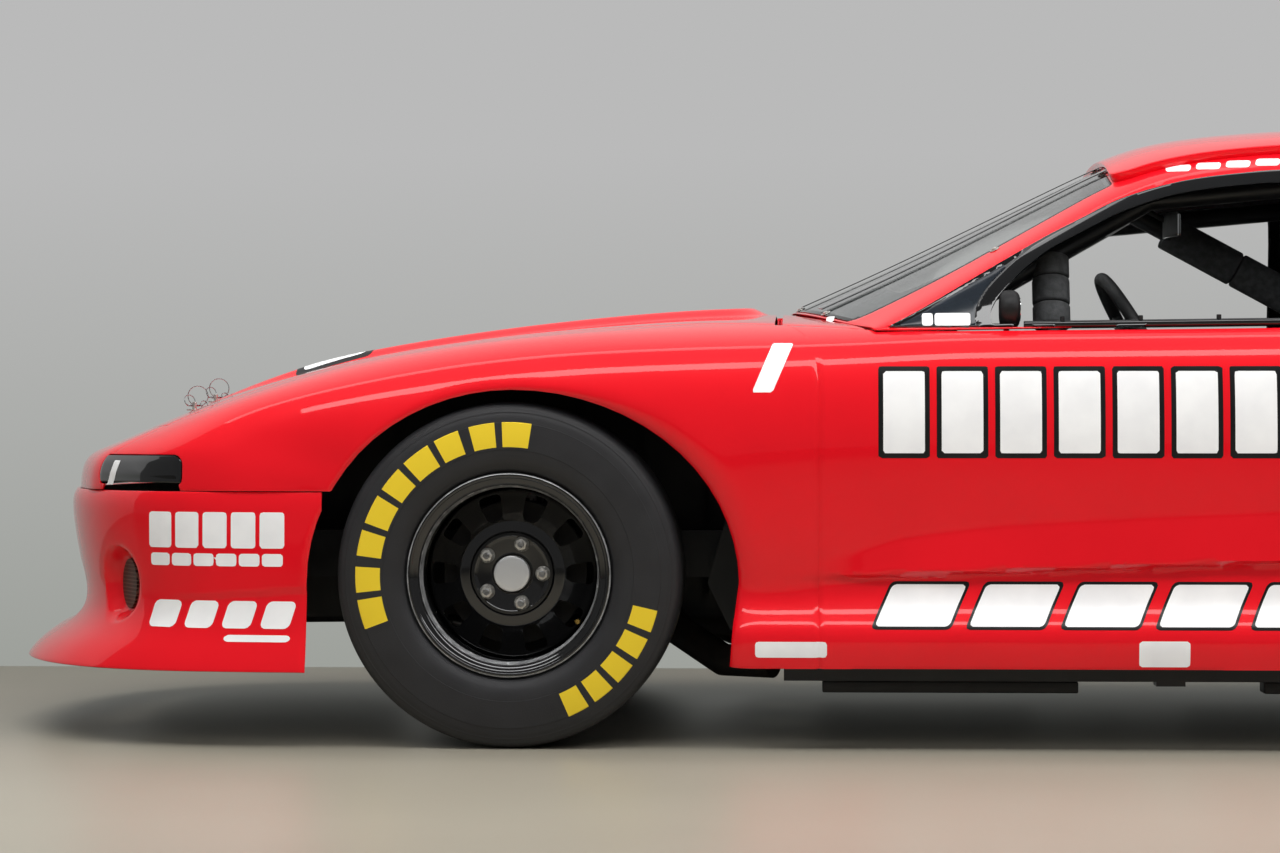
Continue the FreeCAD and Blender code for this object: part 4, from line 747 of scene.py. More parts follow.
# %% Lay the upper skins
HOOD_REAR_X, COWL_SLOT, DECK_FRONT_X, BULGE = 541, 16, 3004, 17
TONGUE_HALF = ((-900, 250), (-700, 300), (-350, 335), (100, 325), (400, 315))
TONGUE_REAR_X, TONGUE_CORNER, TONGUE_SLOPE = 530, 130, 46


def hood_shape(points, outwards, u, v):
    """Raises the tongue, whose plan has rounded rear corners."""
    x, y, z = points.T
    dx, dy = (np.maximum(TONGUE_CORNER - inside, 0)
              for inside in (TONGUE_REAR_X - x, at(TONGUE_HALF, x) - np.abs(y)))
    lift = BULGE * ramp(TONGUE_CORNER - np.hypot(dx, dy), 0, TONGUE_SLOPE) * ramp(x, -860, -420)
    return points + outwards * lift[:, None]


def upper_skin(name, node, u1, u2, step, middle_u, gap, keep, shape=None, body="root"):
    """A skin over the top of the body, from seam to seam less a gap."""
    walled(name, BODY, (u1, u2, SEAM_V + gap, FULL_V - SEAM_V - gap), step, keep, shape,
           middle=(middle_u, 12), body=body, stands=node, slot="red_paint")


upper_skin("hood_skin", "hood", 3.2 + LID_STEP, 11.4, 9, 7, LID_STEP,
           lambda p, u, v: HOOD_REAR_X - p[:, 0], hood_shape, "hood")
upper_skin("cowl_skin", "cowl_panel", 9.8, 10.91, 9, 10.5, SEAM_STEP,
           lambda p, u, v: p[:, 0] - HOOD_REAR_X - COWL_SLOT)
upper_skin("nose_skin", "nose_panel", 0, 3.2, 8, 1.6, SEAM_STEP,
           lambda p, u, v: np.minimum(lamp_distance(p, u, v), lamp_distance(p, u, v, True)) - 1)
upper_skin("deck_lid_skin", "deck_lid", 18.2, TAIL_U - LID_STEP, 12, 21, LID_STEP,
           lambda p, u, v: p[:, 0] - DECK_FRONT_X, body="deck_lid")

# %% [markdown]
# ## Bumper covers
# The front cover has a round brake-duct bowl pressed deep into each corner and a wide low mouth.
# The bowl is shaped by pushing the skin in along the duct's own line.

# %% Lay the covers
DUCT_AT = np.array([-809.0, 700.0, 328.0])
DUCT_TURN = math.radians(27)
DUCT_LINE = np.array([-math.cos(DUCT_TURN), math.sin(DUCT_TURN), 0])
BOWL_RIM, BOWL_FLOOR, DUCT_RADIUS, MOUTH_X = 84, 55, 53, -880
COVER_SEAM_Z, TAIL_SEAM_Z, SEAM_GAP = 524.2, 620, 0.9
TAIL_SEAM_X = TAIL_SIDE_X + SEAM_GAP


def mouth_distance(y, z):
    return box_distance(y, z, -430, 430, 250, 338, 40)


def duct_place(points):
    """Distance along the duct's line and from it, the same on both sides."""
    both = points * np.array([1, 0, 1]) + np.abs(points) * np.array([0, 1, 0]) - DUCT_AT
    along = both @ DUCT_LINE
    return along, np.linalg.norm(both - along[:, None] * DUCT_LINE, axis=1)


def front_keep(points, u, v):
    x, y, z = points.T
    along, off = duct_place(points)
    mouth = np.where(x < MOUTH_X, mouth_distance(y, z), FAR)
    duct = np.where(along > 0, off - DUCT_RADIUS, FAR)
    return np.minimum.reduce([COVER_SEAM_Z - z, arch_distance(x, z, 0), mouth, duct])


def front_shape(points, outwards, u, v):
    x, y, z = points.T
    along, off = duct_place(points)
    pushed = np.where(along > 0, ramp(BOWL_RIM - off, 0, BOWL_RIM - BOWL_FLOOR), 0)
    side = np.sign(y)[:, None] * np.array([0, 1, 0]) + np.array([1, 0, 1])
    crease = 300 + (x + 758) * 0.068
    step = 3 * ramp(crease - z, -4, 4) * ramp(z, crease - 70, crease) * ramp(x, -760, -640)
    roll = np.where(x < MOUTH_X, 14 * np.clip(1 - mouth_distance(y, z) / 30, 0, 1) ** 2, 0)
    moved = points - outwards * (lip_roll(x, z) + step + roll)[:, None]
    return moved - (DUCT_LINE * side) * ((along - 3) * pushed)[:, None]


for name, node, surface, high_v, step, keep, shape in (
        ("front_cover_skin", "front_fascia", FRONT_WRAP, 8, 7, front_keep, front_shape),
        ("tail_cover_skin", "tail_panel", REAR_WRAP, 6, 12,
         lambda p, u, v: np.minimum(p[:, 0] - TAIL_SEAM_X, p[:, 2] - TAIL_SEAM_Z - SEAM_GAP), None),
        ("rear_cover_skin", "rear_fascia", REAR_WRAP, 6, 12,
         lambda p, u, v: np.minimum(p[:, 0] - TAIL_SEAM_X, TAIL_SEAM_Z - p[:, 2]), None)):
    walled(name, surface, (0, 12, 0, high_v), step, keep, shape, stands=node, slot="red_paint")

# %% [markdown]
# ## More finishes
# Most of the car's other surfaces are coats, castings and mouldings whose colour and gloss drift a
# little from place to place.  One function builds such a cloudy finish from two tones, the size of
# the clouds in millimetres, a least and a most roughness, and the height of a fine grain.

# %% Cloudy finishes
def mottled(name, dark, light, size, dull, metal=0.0, grain=0.0, grain_size=2.0, coat=0.0):
    """A surface with soft drift in tone and gloss, and an optional fine grain in millimetres."""
    finish, tree, place = new_finish(name)
    cloud = add(tree, "TexNoise", {"Vector": place, "Scale": 1000 / size, "Detail": 4.0})
    tone = tones(add(tree, "ValToRGB", {"Fac": cloud.outputs["Fac"]}), dark, light, (0.35, 0.65))
    gloss = add(tree, "MapRange", {"Value": cloud.outputs["Fac"], "From Min": 0.3, "From Max": 0.7,
                                   "To Min": dull[0], "To Max": dull[1]})
    inputs = {"Base Color": tone, "Roughness": gloss.outputs["Result"],
              "Metallic": metal, "Coat Weight": coat, "Coat Roughness": 0.03}
    if grain:
        fine = add(tree, "TexNoise", {"Vector": place, "Scale": 1000 / grain_size, "Detail": 2.0})
        raised = add(tree, "Bump", {"Height": fine.outputs["Fac"], "Strength": 0.5,
                                    "Distance": grain / 1000})
        inputs["Normal"] = raised.outputs["Normal"]
    close_finish(tree, add(tree, "BsdfPrincipled", inputs))
    return finish


# Gloss black acrylic, vacuum formed: window frames and lamp blanks; deep and mirror smooth.
black_acrylic = mottled("gloss_black_acrylic", "#040506", "#08090B", 120, (0.05, 0.08), coat=1.0)
# Blue-black satin acrylic of the fixed corner panes; it takes the sky of the studio softly.
corner_acrylic = mottled("smoked_acrylic", "#171C22", "#1E252C", 150, (0.12, 0.2))
# Fired ceramic band round the screens, dark green-grey where the sheet shows it through.
ceramic_band = mottled("screen_printed_band", "#15191A", "#1C2222", 60, (0.25, 0.4))
# Cut vinyl film, calendered: flat, even, with a soft satin shine.
white_vinyl = mottled("white_cut_vinyl", "#EDEDEE", "#F6F6F6", 90, (0.28, 0.36))
black_vinyl = mottled("black_cut_vinyl", "#0C0C0D", "#131314", 90, (0.28, 0.36))
# Powder-coated steel tube: baked coat with orange peel a few millimetres wide.
frame_coat = mottled("powder_coated_steel", "#17181A", "#212225", 45, (0.3, 0.45), grain=0.05, grain_size=3)
# Gloss black enamel of the stamped wheels, sprayed and baked.
wheel_enamel = mottled("gloss_black_stoved_enamel", "#050506", "#0A0A0B", 50, (0.09, 0.16), grain=0.02,
                       grain_size=5, coat=1.0)
# The same enamel rubbed through to pale steel along the rolled edges of a wheel: the pale rings are
# partly wear and partly a painted highlight where those edges catch the light.
worn_and_highlit_edge = mottled("enamel_rubbed_to_steel", "#8E8F91", "#C4C5C6", 25, (0.15, 0.3), metal=0.35)
# Zinc-plated steel, passivated: warm grey metal with cloudy gloss.
plated_steel = mottled("zinc_plated_steel", "#A8A6A0", "#CFCDC7", 8, (0.25, 0.42), metal=0.7)
# Bright machined steel: studs, clips and shafts, sharp-edged and clean.
bare_steel = mottled("bright_machined_steel", "#8F9092", "#A9AAAC", 12, (0.2, 0.4), metal=1.0)
# Turned brass of the tyre valve, warm and fairly bright.
brass = mottled("turned_brass", "#A98B4A", "#C9A85F", 6, (0.2, 0.35), metal=1.0)
# Sand-cast iron: dark, half metallic, with the sand's grain left on it.
cast_iron = mottled("sand_cast_iron", "#3B3A38", "#4B4947", 14, (0.55, 0.8), metal=0.6, grain=0.4)
# Rolled alloy sheet: pale satin, clouded by handling.
alloy_sheet = mottled("rolled_alloy_sheet", "#9A9B9B", "#B2B3B2", 110, (0.35, 0.55), metal=0.55, grain=0.02)
# Sheet steel in satin black, dusty enough to lose its shine.
black_sheet = mottled("black_satin_sheet_metal", "#101112", "#191A1B", 70, (0.45, 0.65))
# Moulded ABS with a fine spark-eroded grain.
moulded_plastic = mottled("moulded_abs", "#131314", "#1B1B1C", 35, (0.45, 0.6), grain=0.06, grain_size=1.5)
# Heat-proof black on the exhaust, browned in patches.
pipe_coat = mottled("heat_proof_black", "#141312", "#27221E", 30, (0.6, 0.8), metal=0.3, grain=0.15)
# Closed-cell foam tube: dull grey, pitted by cut cells.
closed_foam = mottled("closed_cell_foam", "#3A3B3C", "#4E4F50", 14, (0.8, 0.95), grain=0.9, grain_size=3)
# Moulded rubber of the steering wheel's grip.
grip_rubber = mottled("moulded_grip_rubber", "#0F0F10", "#19191A", 16, (0.5, 0.7), grain=0.12)
# Silvered mirror glass, nearly perfect.
silvered_glass = mottled("silvered_mirror", "#C9CCCD", "#D6D9DA", 200, (0.01, 0.03), metal=1.0)
# Woven black nylon, drawn a little coarse so that it shows.
seat_cloth = mottled("woven_black_nylon", "#151517", "#1F1F22", 6, (0.75, 0.9), grain=0.5, grain_size=2)

# %% Clear screens, machined cap, radiator fins and woven wire
# Clear polycarbonate: the eye looks through it and sees the studio on it at a low angle.
clear_sheet, tree, place = new_finish("clear_polycarbonate")
wiped = add(tree, "TexNoise", {"Vector": place, "Scale": 1000 / 120, "Detail": 3.0})
haze = add(tree, "MapRange", {"Value": wiped.outputs["Fac"], "To Min": 0.01, "To Max": 0.05})
pane = add(tree, "BsdfPrincipled", {"Base Color": linear("#F3F6F5"), "Roughness": haze.outputs["Result"],
                                    "IOR": 1.58, "Transmission Weight": 1.0})
passing = add(tree, "BsdfTransparent", {"Color": linear("#E9EEEC")})
shadow = add(tree, "LightPath").outputs["Is Shadow Ray"]
close_finish(tree, add(tree, "MixShader", {0: shadow, 1: pane.outputs[0], 2: passing.outputs[0]}))

# Spun aluminium cap: fine turning rings, drawn 1.5 mm apart so that they show.
turned_alloy, tree, place = new_finish("spun_aluminium")
around_hub = add(tree, "Mapping", {"Vector": place, "Location": (-AXLE_X, 0, -HUB_Z / 1000)})
rings = add(tree, "TexWave", {"Vector": around_hub.outputs["Vector"], "Scale": 100.0, "Distortion": 0.6},
            wave_type="RINGS", rings_direction="Y")
cut = add(tree, "Bump", {"Height": rings.outputs["Fac"], "Strength": 0.25, "Distance": 0.0002})
close_finish(tree, add(tree, "BsdfPrincipled", {
    "Base Color": linear("#D4D5D6"), "Metallic": 0.6, "Roughness": 0.3, "Normal": cut.outputs["Normal"]}))

# Radiator core: folded alloy fins 3 mm apart between flat tubes, drawn as pale and dark bands; the
# dark bands are painted shade between the fins.
fins, tree, place = new_finish("folded_alloy_fins")
folds = add(tree, "TexWave", {"Vector": place, "Scale": 1000 / 3 / 6.28, "Distortion": 0.3},
            bands_direction="Y")
shade = tones(add(tree, "ValToRGB", {"Fac": folds.outputs["Fac"]}), "#3A3B3C", "#A0A1A2")
close_finish(tree, add(tree, "BsdfPrincipled", {"Base Color": shade, "Metallic": 0.8, "Roughness": 0.45}))

# Woven wire: plain weave at 4 mm over dark ducting, drawn by two crossed bands of wires.
wire, tree, place = new_finish("woven_wire_screen")
upright, level = (add(tree, "TexWave", {"Vector": place, "Scale": 1000 / 4 / 6.28}, bands_direction=way)
                  for way in "ZY")
crossed = add(tree, "Math", {0: upright.outputs["Fac"], 1: level.outputs["Fac"]}, operation="MAXIMUM")
wires = tones(add(tree, "ValToRGB", {"Fac": crossed.outputs[0]}), "#16130F", "#6A6053", (0.55, 1.0))
close_finish(tree, add(tree, "BsdfPrincipled", {"Base Color": wires, "Metallic": 0.7, "Roughness": 0.5}))
print("finishes", len(bpy.data.materials))

# %% [markdown]
# ## Greenhouse
# Roof, pillars and sills are one moulding, cut out for the screens and side windows.  A cap with a
# rounded front lip stands proud of the roof.  The screens are bent clear sheets that lie in their
# openings, each with a dark printed band on its inner face that hides the glue.

# %% Openings of the greenhouse
def patch_distance(surface, span, corner):
    """Distance outside a patch of a net with rounded corners, from its parameters."""
    u1, u2, v1, v2 = span
    t = np.linspace(0, 1, 60)
    runs = (surface(u1 + (u2 - u1) * t, np.full(60, (v1 + v2) / 2)),
            surface(np.full(60, (u1 + u2) / 2), v1 + (v2 - v1) * t))
    long_u, long_v = (np.linalg.norm(np.diff(run, axis=0), axis=1).sum() for run in runs)
    return lambda u, v: box_distance((u - u1) / (u2 - u1) * long_u, (v - v1) / (v2 - v1) * long_v,
                                     0, long_u, 0, long_v, corner)


screen_out = patch_distance(GLASS, (0.03, 2.9, 2.22, 7.78), 34)
rear_out = patch_distance(GLASS, (8.35, 9.8, 2.2, 7.8), 40)
cap_out = patch_distance(GLASS, (2.92, 8.25, 2.1, 7.9), 80)
TRIM_RING = smooth_ring(((770, 861), (839, 897), (948, 962), (1031, 1011), (1107, 1055), (1184, 1095),
                         (1261, 1134), (1350, 1163), (1433, 1181), (1527, 1192), (1600, 1198), (1740, 1200),
                         (1775, 1190), (1800, 864)), sharp=(0, 13))
WINDOW_RING = smooth_ring(((988, 868), (984, 890), (1000, 923), (1030, 957), (1065, 990), (1117, 1029),
                           (1194, 1070), (1265, 1106), (1354, 1137), (1437, 1154), (1524, 1164),
                           (1600, 1169), (1715, 1168), (1742, 1150), (1762, 868)), sharp=(0, 14))
QUARTER_RING = smooth_ring(((1850, 880), (1840, 1150), (1880, 1166), (2080, 1150), (2290, 1085),
                            (2400, 990), (2395, 905), (2370, 893)), sharp=(0,))


def roof_keep(points, u, v):
    return np.minimum.reduce([screen_out(u, v), rear_out(u, v), ring_out(points, TRIM_RING),
                              ring_out(points, QUARTER_RING)])


def lifted(lift):
    """A shape function that moves a skin out by a fixed distance."""
    return lambda points, outwards, u, v: points + outwards * lift

# %% Lay the roof, its cap, the screens and the quarter windows
walled("roof_skin", GLASS, (0.02, 9.97, 0.02, 9.98), 11, roof_keep, middle=(5, 5), stands="roof",
       slot="red_paint")
walled("roof_cap", GLASS, (2.9, 8.3, 2.0, 8.0), 14, lambda p, u, v: -cap_out(u, v), lifted(19.5), wall=21,
       edge=6, middle=(5, 5), finishes=(red_paint, red_paint), stands="roof", slot="red_paint")


def band_keep(outside, width, foot):
    """Keeps a band of the given width inside a screen's edge, wider along its foot."""
    def keep(points, u, v):
        inside = -outside(u, v) - 3
        return np.minimum(inside, width + foot * (1 - ramp(u, 0.1, 0.7)) - inside)
    return keep


for name, node, span, outside, sheet_step, band_step, width, foot in (
        ("windscreen", "windshield", (0.02, 2.92, 2.2, 7.8), screen_out, 12, 10, 22, 75),
        ("rear_window", "rear_window", (8.34, 9.81, 2.15, 7.85), rear_out, 14, 12, 30, 0)):
    walled(name + "_sheet", GLASS, span, sheet_step, lambda p, u, v: -outside(u, v) - 2, edge=0.8,
           finishes=(clear_sheet, clear_sheet), stands=node, slot="clear_glass")
    walled(name + "_band", GLASS, span, band_step, band_keep(outside, width, foot), lifted(-5.2),
           wall=0.5, edge=0.1, finishes=(ceramic_band,))
walled("left_quarter_window_sheet", GLASS, (5, 9.5, 0, 2), 12,
       lambda p, u, v: -ring_out(p, QUARTER_RING) - 1.2, edge=0.8, middle=(7, 1),
       finishes=(black_acrylic,), stands="quarter_windows", slot="clear_glass")

# %% [markdown]
# Each side window has a glossy black moulded frame, flush with the roof outside and stepped down to
# a bead inside.  Ahead of the opening, its floor holds a small fixed pane.

# %% Window frames with the sunk corner pane
BEAD, PANE_END_X = 31, 1070


def frame_keep(points, u, v):
    return np.minimum(-ring_out(points, TRIM_RING) - 1, ring_out(points, WINDOW_RING))


def frame_shape(points, outwards, u, v):
    sunk = ramp(-ring_out(points, TRIM_RING), 2, 6) * ramp(ring_out(points, WINDOW_RING), BEAD - 5, BEAD)
    return points + outwards * (2.5 - 5 * sunk * (1 - ramp(points[:, 0], 1060, 1100)))[:, None]


def pane_keep(points, u, v):
    return np.minimum.reduce([-ring_out(points, TRIM_RING) - 5.5, ring_out(points, WINDOW_RING) - BEAD,
                              PANE_END_X - points[:, 0]])


walled("left_window_frame", GLASS, (0, 6, 0, 2.3), 6, frame_keep, frame_shape, wall=7, edge=2.5,
       middle=(3, 1), finishes=(black_acrylic,), stands="window_trims", slot="black_gloss")
walled("left_corner_pane", GLASS, (0, 2.2, 0, 2.3), 8, pane_keep, lifted(-1.6), wall=1, edge=0.2,
       middle=(2, 1), finishes=(corner_acrylic,), slot="black_gloss")

# %% [markdown]
# ## Lamp covers
# A racing car has no lamps.  Gloss black blanks fill the openings, each with a slanted white flash.
# They are laid over the same net as the fender, so they carry its curve on across the opening.

# %% Lamp covers
def lamp_cover_shape(points, outwards, u, v):
    return points + outwards * (2.0 * ramp(-lamp_distance(points, u, v) - 2, 0, 14))[:, None]


walled("left_lamp_cover", BODY, (0.1, 2.4, 6.7, 9.4), 5, lambda p, u, v: -lamp_distance(p, u, v) - 1.2,
       lamp_cover_shape, edge=1.5, middle=(1, 8.3), finishes=(black_acrylic,),
       stands="headlight_covers", slot="black_gloss")

# %% [markdown]
# ## Blank marks
# The body carries cut vinyl.  Here every mark is a plain block or plate with no lettering, laid as
# its own thin skin a little way off the paint, with a black one below it where it has an edge.

# %% How the marks are cut
def patch_of(surface, limits, x1, x2, z1, z2, room=14):
    """The smallest span of parameters that covers a box in side view, on the left."""
    u1, u2, v1, v2 = limits
    u, v = every_pair(np.linspace(u1, u2, 160), np.linspace(v1, v2, 110))
    x, y, z = surface(u, v).T
    near = (x > x1 - room) & (x < x2 + room) & (z > z1 - room) & (z < z2 + room)
    step_u, step_v = (u2 - u1) / 160, (v2 - v1) / 110
    return (max(u[near].min() - step_u, u1), min(u[near].max() + step_u, u2),
            max(v[near].min() - step_v, v1), min(v[near].max() + step_v, v2))


def row_of_blocks(x, z1, z2, width, pitch, count, slant=0.0):
    """Equal slanted blocks in a row: each is x1, x2, z1, z2, slant."""
    return [(x + k * pitch, x + k * pitch + width, z1, z2, slant) for k in range(count)]


def film(name, surface, limits, blocks, shape, lift=0.5, finish=white_vinyl, step=5, grow=0.0, *,
         corner):
    """Thin vinyl blocks that lie on a skin, made for the left side and copied to the right."""
    ends = [min(b[0] for b in blocks) - grow, max(b[1] + b[4] * (b[3] - b[2]) for b in blocks) + grow,
            min(b[2] for b in blocks) - grow, max(b[3] for b in blocks) + grow]

    def keep(points, u, v):
        x, y, z = points.T
        return np.max([-box_distance(x - slant * (z - z1), z, x1 - grow, x2 + grow, z1 - grow, z2 + grow,
                                     corner) for x1, x2, z1, z2, slant in blocks], axis=0)

    lay_film("left_" + name, surface, patch_of(surface, limits, *ends), step, keep, shape, lift, finish)


def lay_film(name, surface, span, step, keep, shape, lift, finish, body="root"):
    points, faces = laid_grid(surface, span, step, keep, lambda p, n, u, v: shape(p, n, u, v) + n * lift)
    seat(smooth(make_mesh(name, points, faces, finish), 60), body)

# %% Lay the marks: plain blocks and blank plates with no lettering
FLANK, COVER, ON, OVER = (0, TAIL_U, 0, SEAM_V), (0, 6, 0, 8), 0.4, 0.8
door_row = row_of_blocks(762, 604, 770, 84, 118, 9)
sill_row = row_of_blocks(744, 254, 338, 150, 190, 5, 0.45)
roof_row = [(x1, x2, z1 + (x1 - 1366) * 0.06, z2 + (x1 - 1366) * 0.06, slant)
            for x1, x2, z1, z2, slant in row_of_blocks(1366, 1197, 1213, 50, 62, 5, 0.4)]
film("fender_flash", BODY, FLANK, [(496, 538, 727, 828, 0.42)], side_shape, ON, corner=3)
film("door_blocks_edge", BODY, FLANK, door_row, side_shape, ON, black_vinyl, 6, grow=10, corner=4)
film("door_blocks", BODY, FLANK, door_row, side_shape, OVER, step=6, corner=4)
film("sill_blocks_edge", BODY, FLANK, sill_row, side_shape, ON, black_vinyl, grow=6, corner=10)
film("sill_blocks", BODY, FLANK, sill_row, side_shape, OVER, corner=9)
film("sill_plates", BODY, FLANK, [(503, 648, 191, 223, 0.0), (1275, 1377, 174, 226, 0.0)], side_shape, ON,
     corner=6)
film("cover_blocks", FRONT_WRAP, COVER, row_of_blocks(-756, 408, 482, 52, 61, 5)
     + row_of_blocks(-752, 371, 397, 44, 49, 6), front_shape, corner=6)
film("cover_script", FRONT_WRAP, COVER, row_of_blocks(-758, 244, 300, 62, 82, 4, 0.3)
     + [(-590, -446, 217, 231, 0.2)], front_shape, corner=12)
film("roof_blocks", GLASS, (3, 6, 0.9, 2.2), roof_row, lifted(0), step=4, corner=6)
film("screen_label", GLASS, (0, 0.6, 2.3, 3.4), [(648, 664, 880, 892, 0.3)], lifted(0), ON, step=3,
     corner=1)
film("lamp_flash", BODY, (0.1, 2.3, 6.8, 9.4), [(-872, -856, 531, 586, 0.4)], lamp_cover_shape, step=4,
     corner=2)
film("corner_plate", GLASS, (0, 2.2, 0, 2.3), [(844, 866, 866, 892, 0.0), (870, 943, 866, 892, 0.0)],
     lifted(-1.6), ON, step=4, corner=4)

# %% A blank plate across the hood
def across_keep(grow):
    def keep(points, u, v):
        x, y, z = points.T
        return -box_distance(x - 0.12 * y, y, -470 - grow, -330 + grow, -300 - grow, 300 + grow, 14)
    return keep


for name, grow, lift, finish in (("hood_plate_edge", 16, ON, black_vinyl),
                                 ("hood_plate", 0, OVER, white_vinyl)):
    lay_film(name, BODY, (4, 9, 10, 14), 8, across_keep(grow), hood_shape, lift, finish, "hood")
print("marks laid")

# %% [markdown]
# ## Tyres and wheels
# A tyre and a rim are bodies of revolution, so both are turned: a circle of edges is added at the
# first point of the section, then extruded and scaled from point to point as on a lathe.

# %% The lathe
def turned(name, centre, section, sides):
    """Turns a section about the axle; each point is (outboard distance, radius), in millimetres."""
    cx, cy, cz = centre
    bpy.ops.object.select_all(action="DESELECT")
    bpy.ops.mesh.primitive_circle_add(vertices=sides, radius=section[0][1] / 1000,
                                      location=(cx, cy - section[0][0] / 1000, cz),
                                      rotation=(math.radians(90), 0, 0))
    piece = placed(name)
    bpy.ops.object.mode_set(mode="EDIT")
    bpy.ops.mesh.select_all(action="SELECT")
    for (out_a, radius_a), (out_b, radius_b) in zip(section, section[1:] + section[:1]):
        bpy.ops.mesh.extrude_edges_move(TRANSFORM_OT_translate={"value": (0, (out_a - out_b) / 1000, 0)})
        scale = radius_b / radius_a
        bpy.ops.transform.resize(value=(scale, 1, scale), center_override=centre)
    bpy.ops.mesh.select_all(action="SELECT")
    bpy.ops.mesh.remove_doubles(threshold=0.00002)
    bpy.ops.mesh.normals_make_consistent(inside=False)
    bpy.ops.object.mode_set(mode="OBJECT")
    return piece


def map_round(piece, centre):
    """A UV map whose U is the turn round the axle and whose V is the radius, in metres."""
    layer = piece.data.uv_layers.new(name="round")
    place = np.array([v.co for v in piece.data.vertices]) - np.array(centre)
    turn = (np.degrees(np.arctan2(place[:, 2], place[:, 0])) + 120) % 360 / 360
    radius = np.hypot(place[:, 0], place[:, 2]) * np.where(place[:, 1] < 0, 1, -1)
    for face in piece.data.polygons:
        first = turn[face.vertices[0]]
        for loop, vertex in zip(face.loop_indices, face.vertices):
            near = turn[vertex] + round(first - turn[vertex])
            layer.data[loop].uv = (near, radius[vertex])


AXLE = (AXLE_X, -TRACK_HALF / 1000, HUB_Z / 1000)

# %% Tyre rubber with plain yellow blocks moulded into the sidewall
# Black tread rubber: dull, with fine mould lines every twelve degrees and two rows of yellow blocks.
rubber, tree, place = new_finish("moulded_tyre_rubber")
uv = add(tree, "UVMap", uv_map="round").outputs["UV"]
polar = add(tree, "SeparateXYZ", {0: uv})
arc = add(tree, "ValToRGB", {"Fac": polar.outputs["X"]})
arc.color_ramp.interpolation = "CONSTANT"
edges = []
for start, pitch, width, count in ((-67.5, 11.2, 8.6, 5), (81, 13.5, 10.4, 9)):
    for k in range(count):
        begin = (start + 120 + pitch * k) / 360
        edges += [(begin, 1.0), (begin + width / 360, 0.0)]
stops = arc.color_ramp.elements
stops[0].color, stops[0].position = (0, 0, 0, 1), 0.0
stops.remove(stops[1])
for spot, value in edges:
    stops.new(spot).color = (value, value, value, 1)
belt = add(tree, "ValToRGB", {"Fac": polar.outputs["Y"]})
belt.color_ramp.interpolation = "CONSTANT"
belt.color_ramp.elements[0].color = (0, 0, 0, 1)
belt.color_ramp.elements[1].position, belt.color_ramp.elements[1].color = 0.259, (1, 1, 1, 1)
belt.color_ramp.elements.new(0.311).color = (0, 0, 0, 1)
block = add(tree, "Math", {0: arc.outputs["Color"], 1: belt.outputs["Color"]}, operation="MULTIPLY")
thirty = add(tree, "Math", {0: polar.outputs["X"], 1: 30.0}, operation="MULTIPLY")
swing = add(tree, "Math", {0: thirty.outputs[0], 1: 0.5}, operation="PINGPONG")
line = add(tree, "MapRange", {"Value": swing.outputs[0], "From Max": 0.012})
dust = add(tree, "TexNoise", {"Vector": place, "Scale": 1000 / 60, "Detail": 5.0})
black = tones(add(tree, "ValToRGB", {"Fac": dust.outputs["Fac"]}), "#1D1D1F", "#2B2B2D")
tone = add(tree, "Mix", {0: block.outputs[0], 6: black, 7: linear("#E9C92A")},
           data_type="RGBA")
grain = add(tree, "TexNoise", {"Vector": place, "Scale": 1000 / 2.5, "Detail": 2.0})
depth = add(tree, "Math", {0: grain.outputs["Fac"], 1: line.outputs["Result"]}, operation="MULTIPLY")
raised = add(tree, "Bump", {"Height": depth.outputs[0], "Strength": 0.35, "Distance": 0.0006})
gloss = add(tree, "MapRange", {"Value": dust.outputs["Fac"], "To Min": 0.45, "To Max": 0.65})
close_finish(tree, add(tree, "BsdfPrincipled", {
    "Base Color": tone.outputs[2], "Roughness": gloss.outputs["Result"],
    "Normal": raised.outputs["Normal"]}))

# %% Turn the tyre
OUTER_WALL = [
    (120, 191), (121, 200), (121, 209), (124, 212), (127, 213.5), (131, 214.5), (136, 219), (141, 226),
    (144.5, 233), (146.5, 241), (148, 249), (148.6, 256), (149.4, 256.6), (149.6, 270), (149.4, 284),
    (148.4, 298), (147.2, 311), (146.2, 311.8), (144.6, 320), (142.6, 329), (141.8, 330), (141.6, 333),
    (140.4, 334), (138.6, 339), (135.6, 343.6), (131, 347.6), (124.6, 350.4), (118, 351.9), (100, 353.2),
    (60, 354.1), (0, 354.4)]
tyre_section = OUTER_WALL + [(-out, radius) for out, radius in OUTER_WALL[-2::-1]]
tyre = coated(turned("left_front_tyre_body", AXLE, tyre_section, 160), rubber)
map_round(tyre, AXLE)
smooth(tyre, 40)
print("tyre", len(tyre.data.polygons), "faces")

# %% [markdown]
# The wheel is rolled and pressed steel: a rim with curled lips, and a dished centre whose ten
# windows have soft drawn edges.  The windows are cut with one blunt wedge copied round the axle,
# taken out with a boolean, and the bevel that follows gives every edge its drawn radius.

# %% Turn the rim and the dished centre
RIM_SECTION = [
    (121.5, 190.5), (121.5, 203), (123, 207), (126.5, 209), (130.5, 208.6), (133, 206), (133.4, 202.5),
    (131.5, 199.6), (128, 197.5), (125.6, 193), (123.6, 187.5), (118, 184), (108, 182.6), (96, 182.2),
    (92, 179), (60, 177.5), (6, 176.5), (-40, 178), (-90, 181), (-118, 183), (-125.6, 193), (-133.4, 203),
    (-131, 208), (-124, 208), (-121.5, 203), (-121.5, 190.5), (-90, 188.5), (-30, 183), (60, 183.5),
    (90, 187)]
rim = turned("left_front_rim", AXLE, RIM_SECTION, 144)
DISH = [(5, 177.5), (11, 175), (14.5, 170.5), (15.5, 165), (20, 152), (27, 134), (33, 117), (37, 109.5),
        (39.5, 104), (39.5, 90), (41.5, 87), (45, 84), (45, 79), (42, 76), (41, 70), (41, 45), (39, 41),
        (33, 41), (33, 70), (31, 96), (24, 118), (14, 142), (8, 162), (3, 170), (-2, 172), (-3, 177.5)]
dish = turned("left_front_dish", AXLE, DISH, 144)

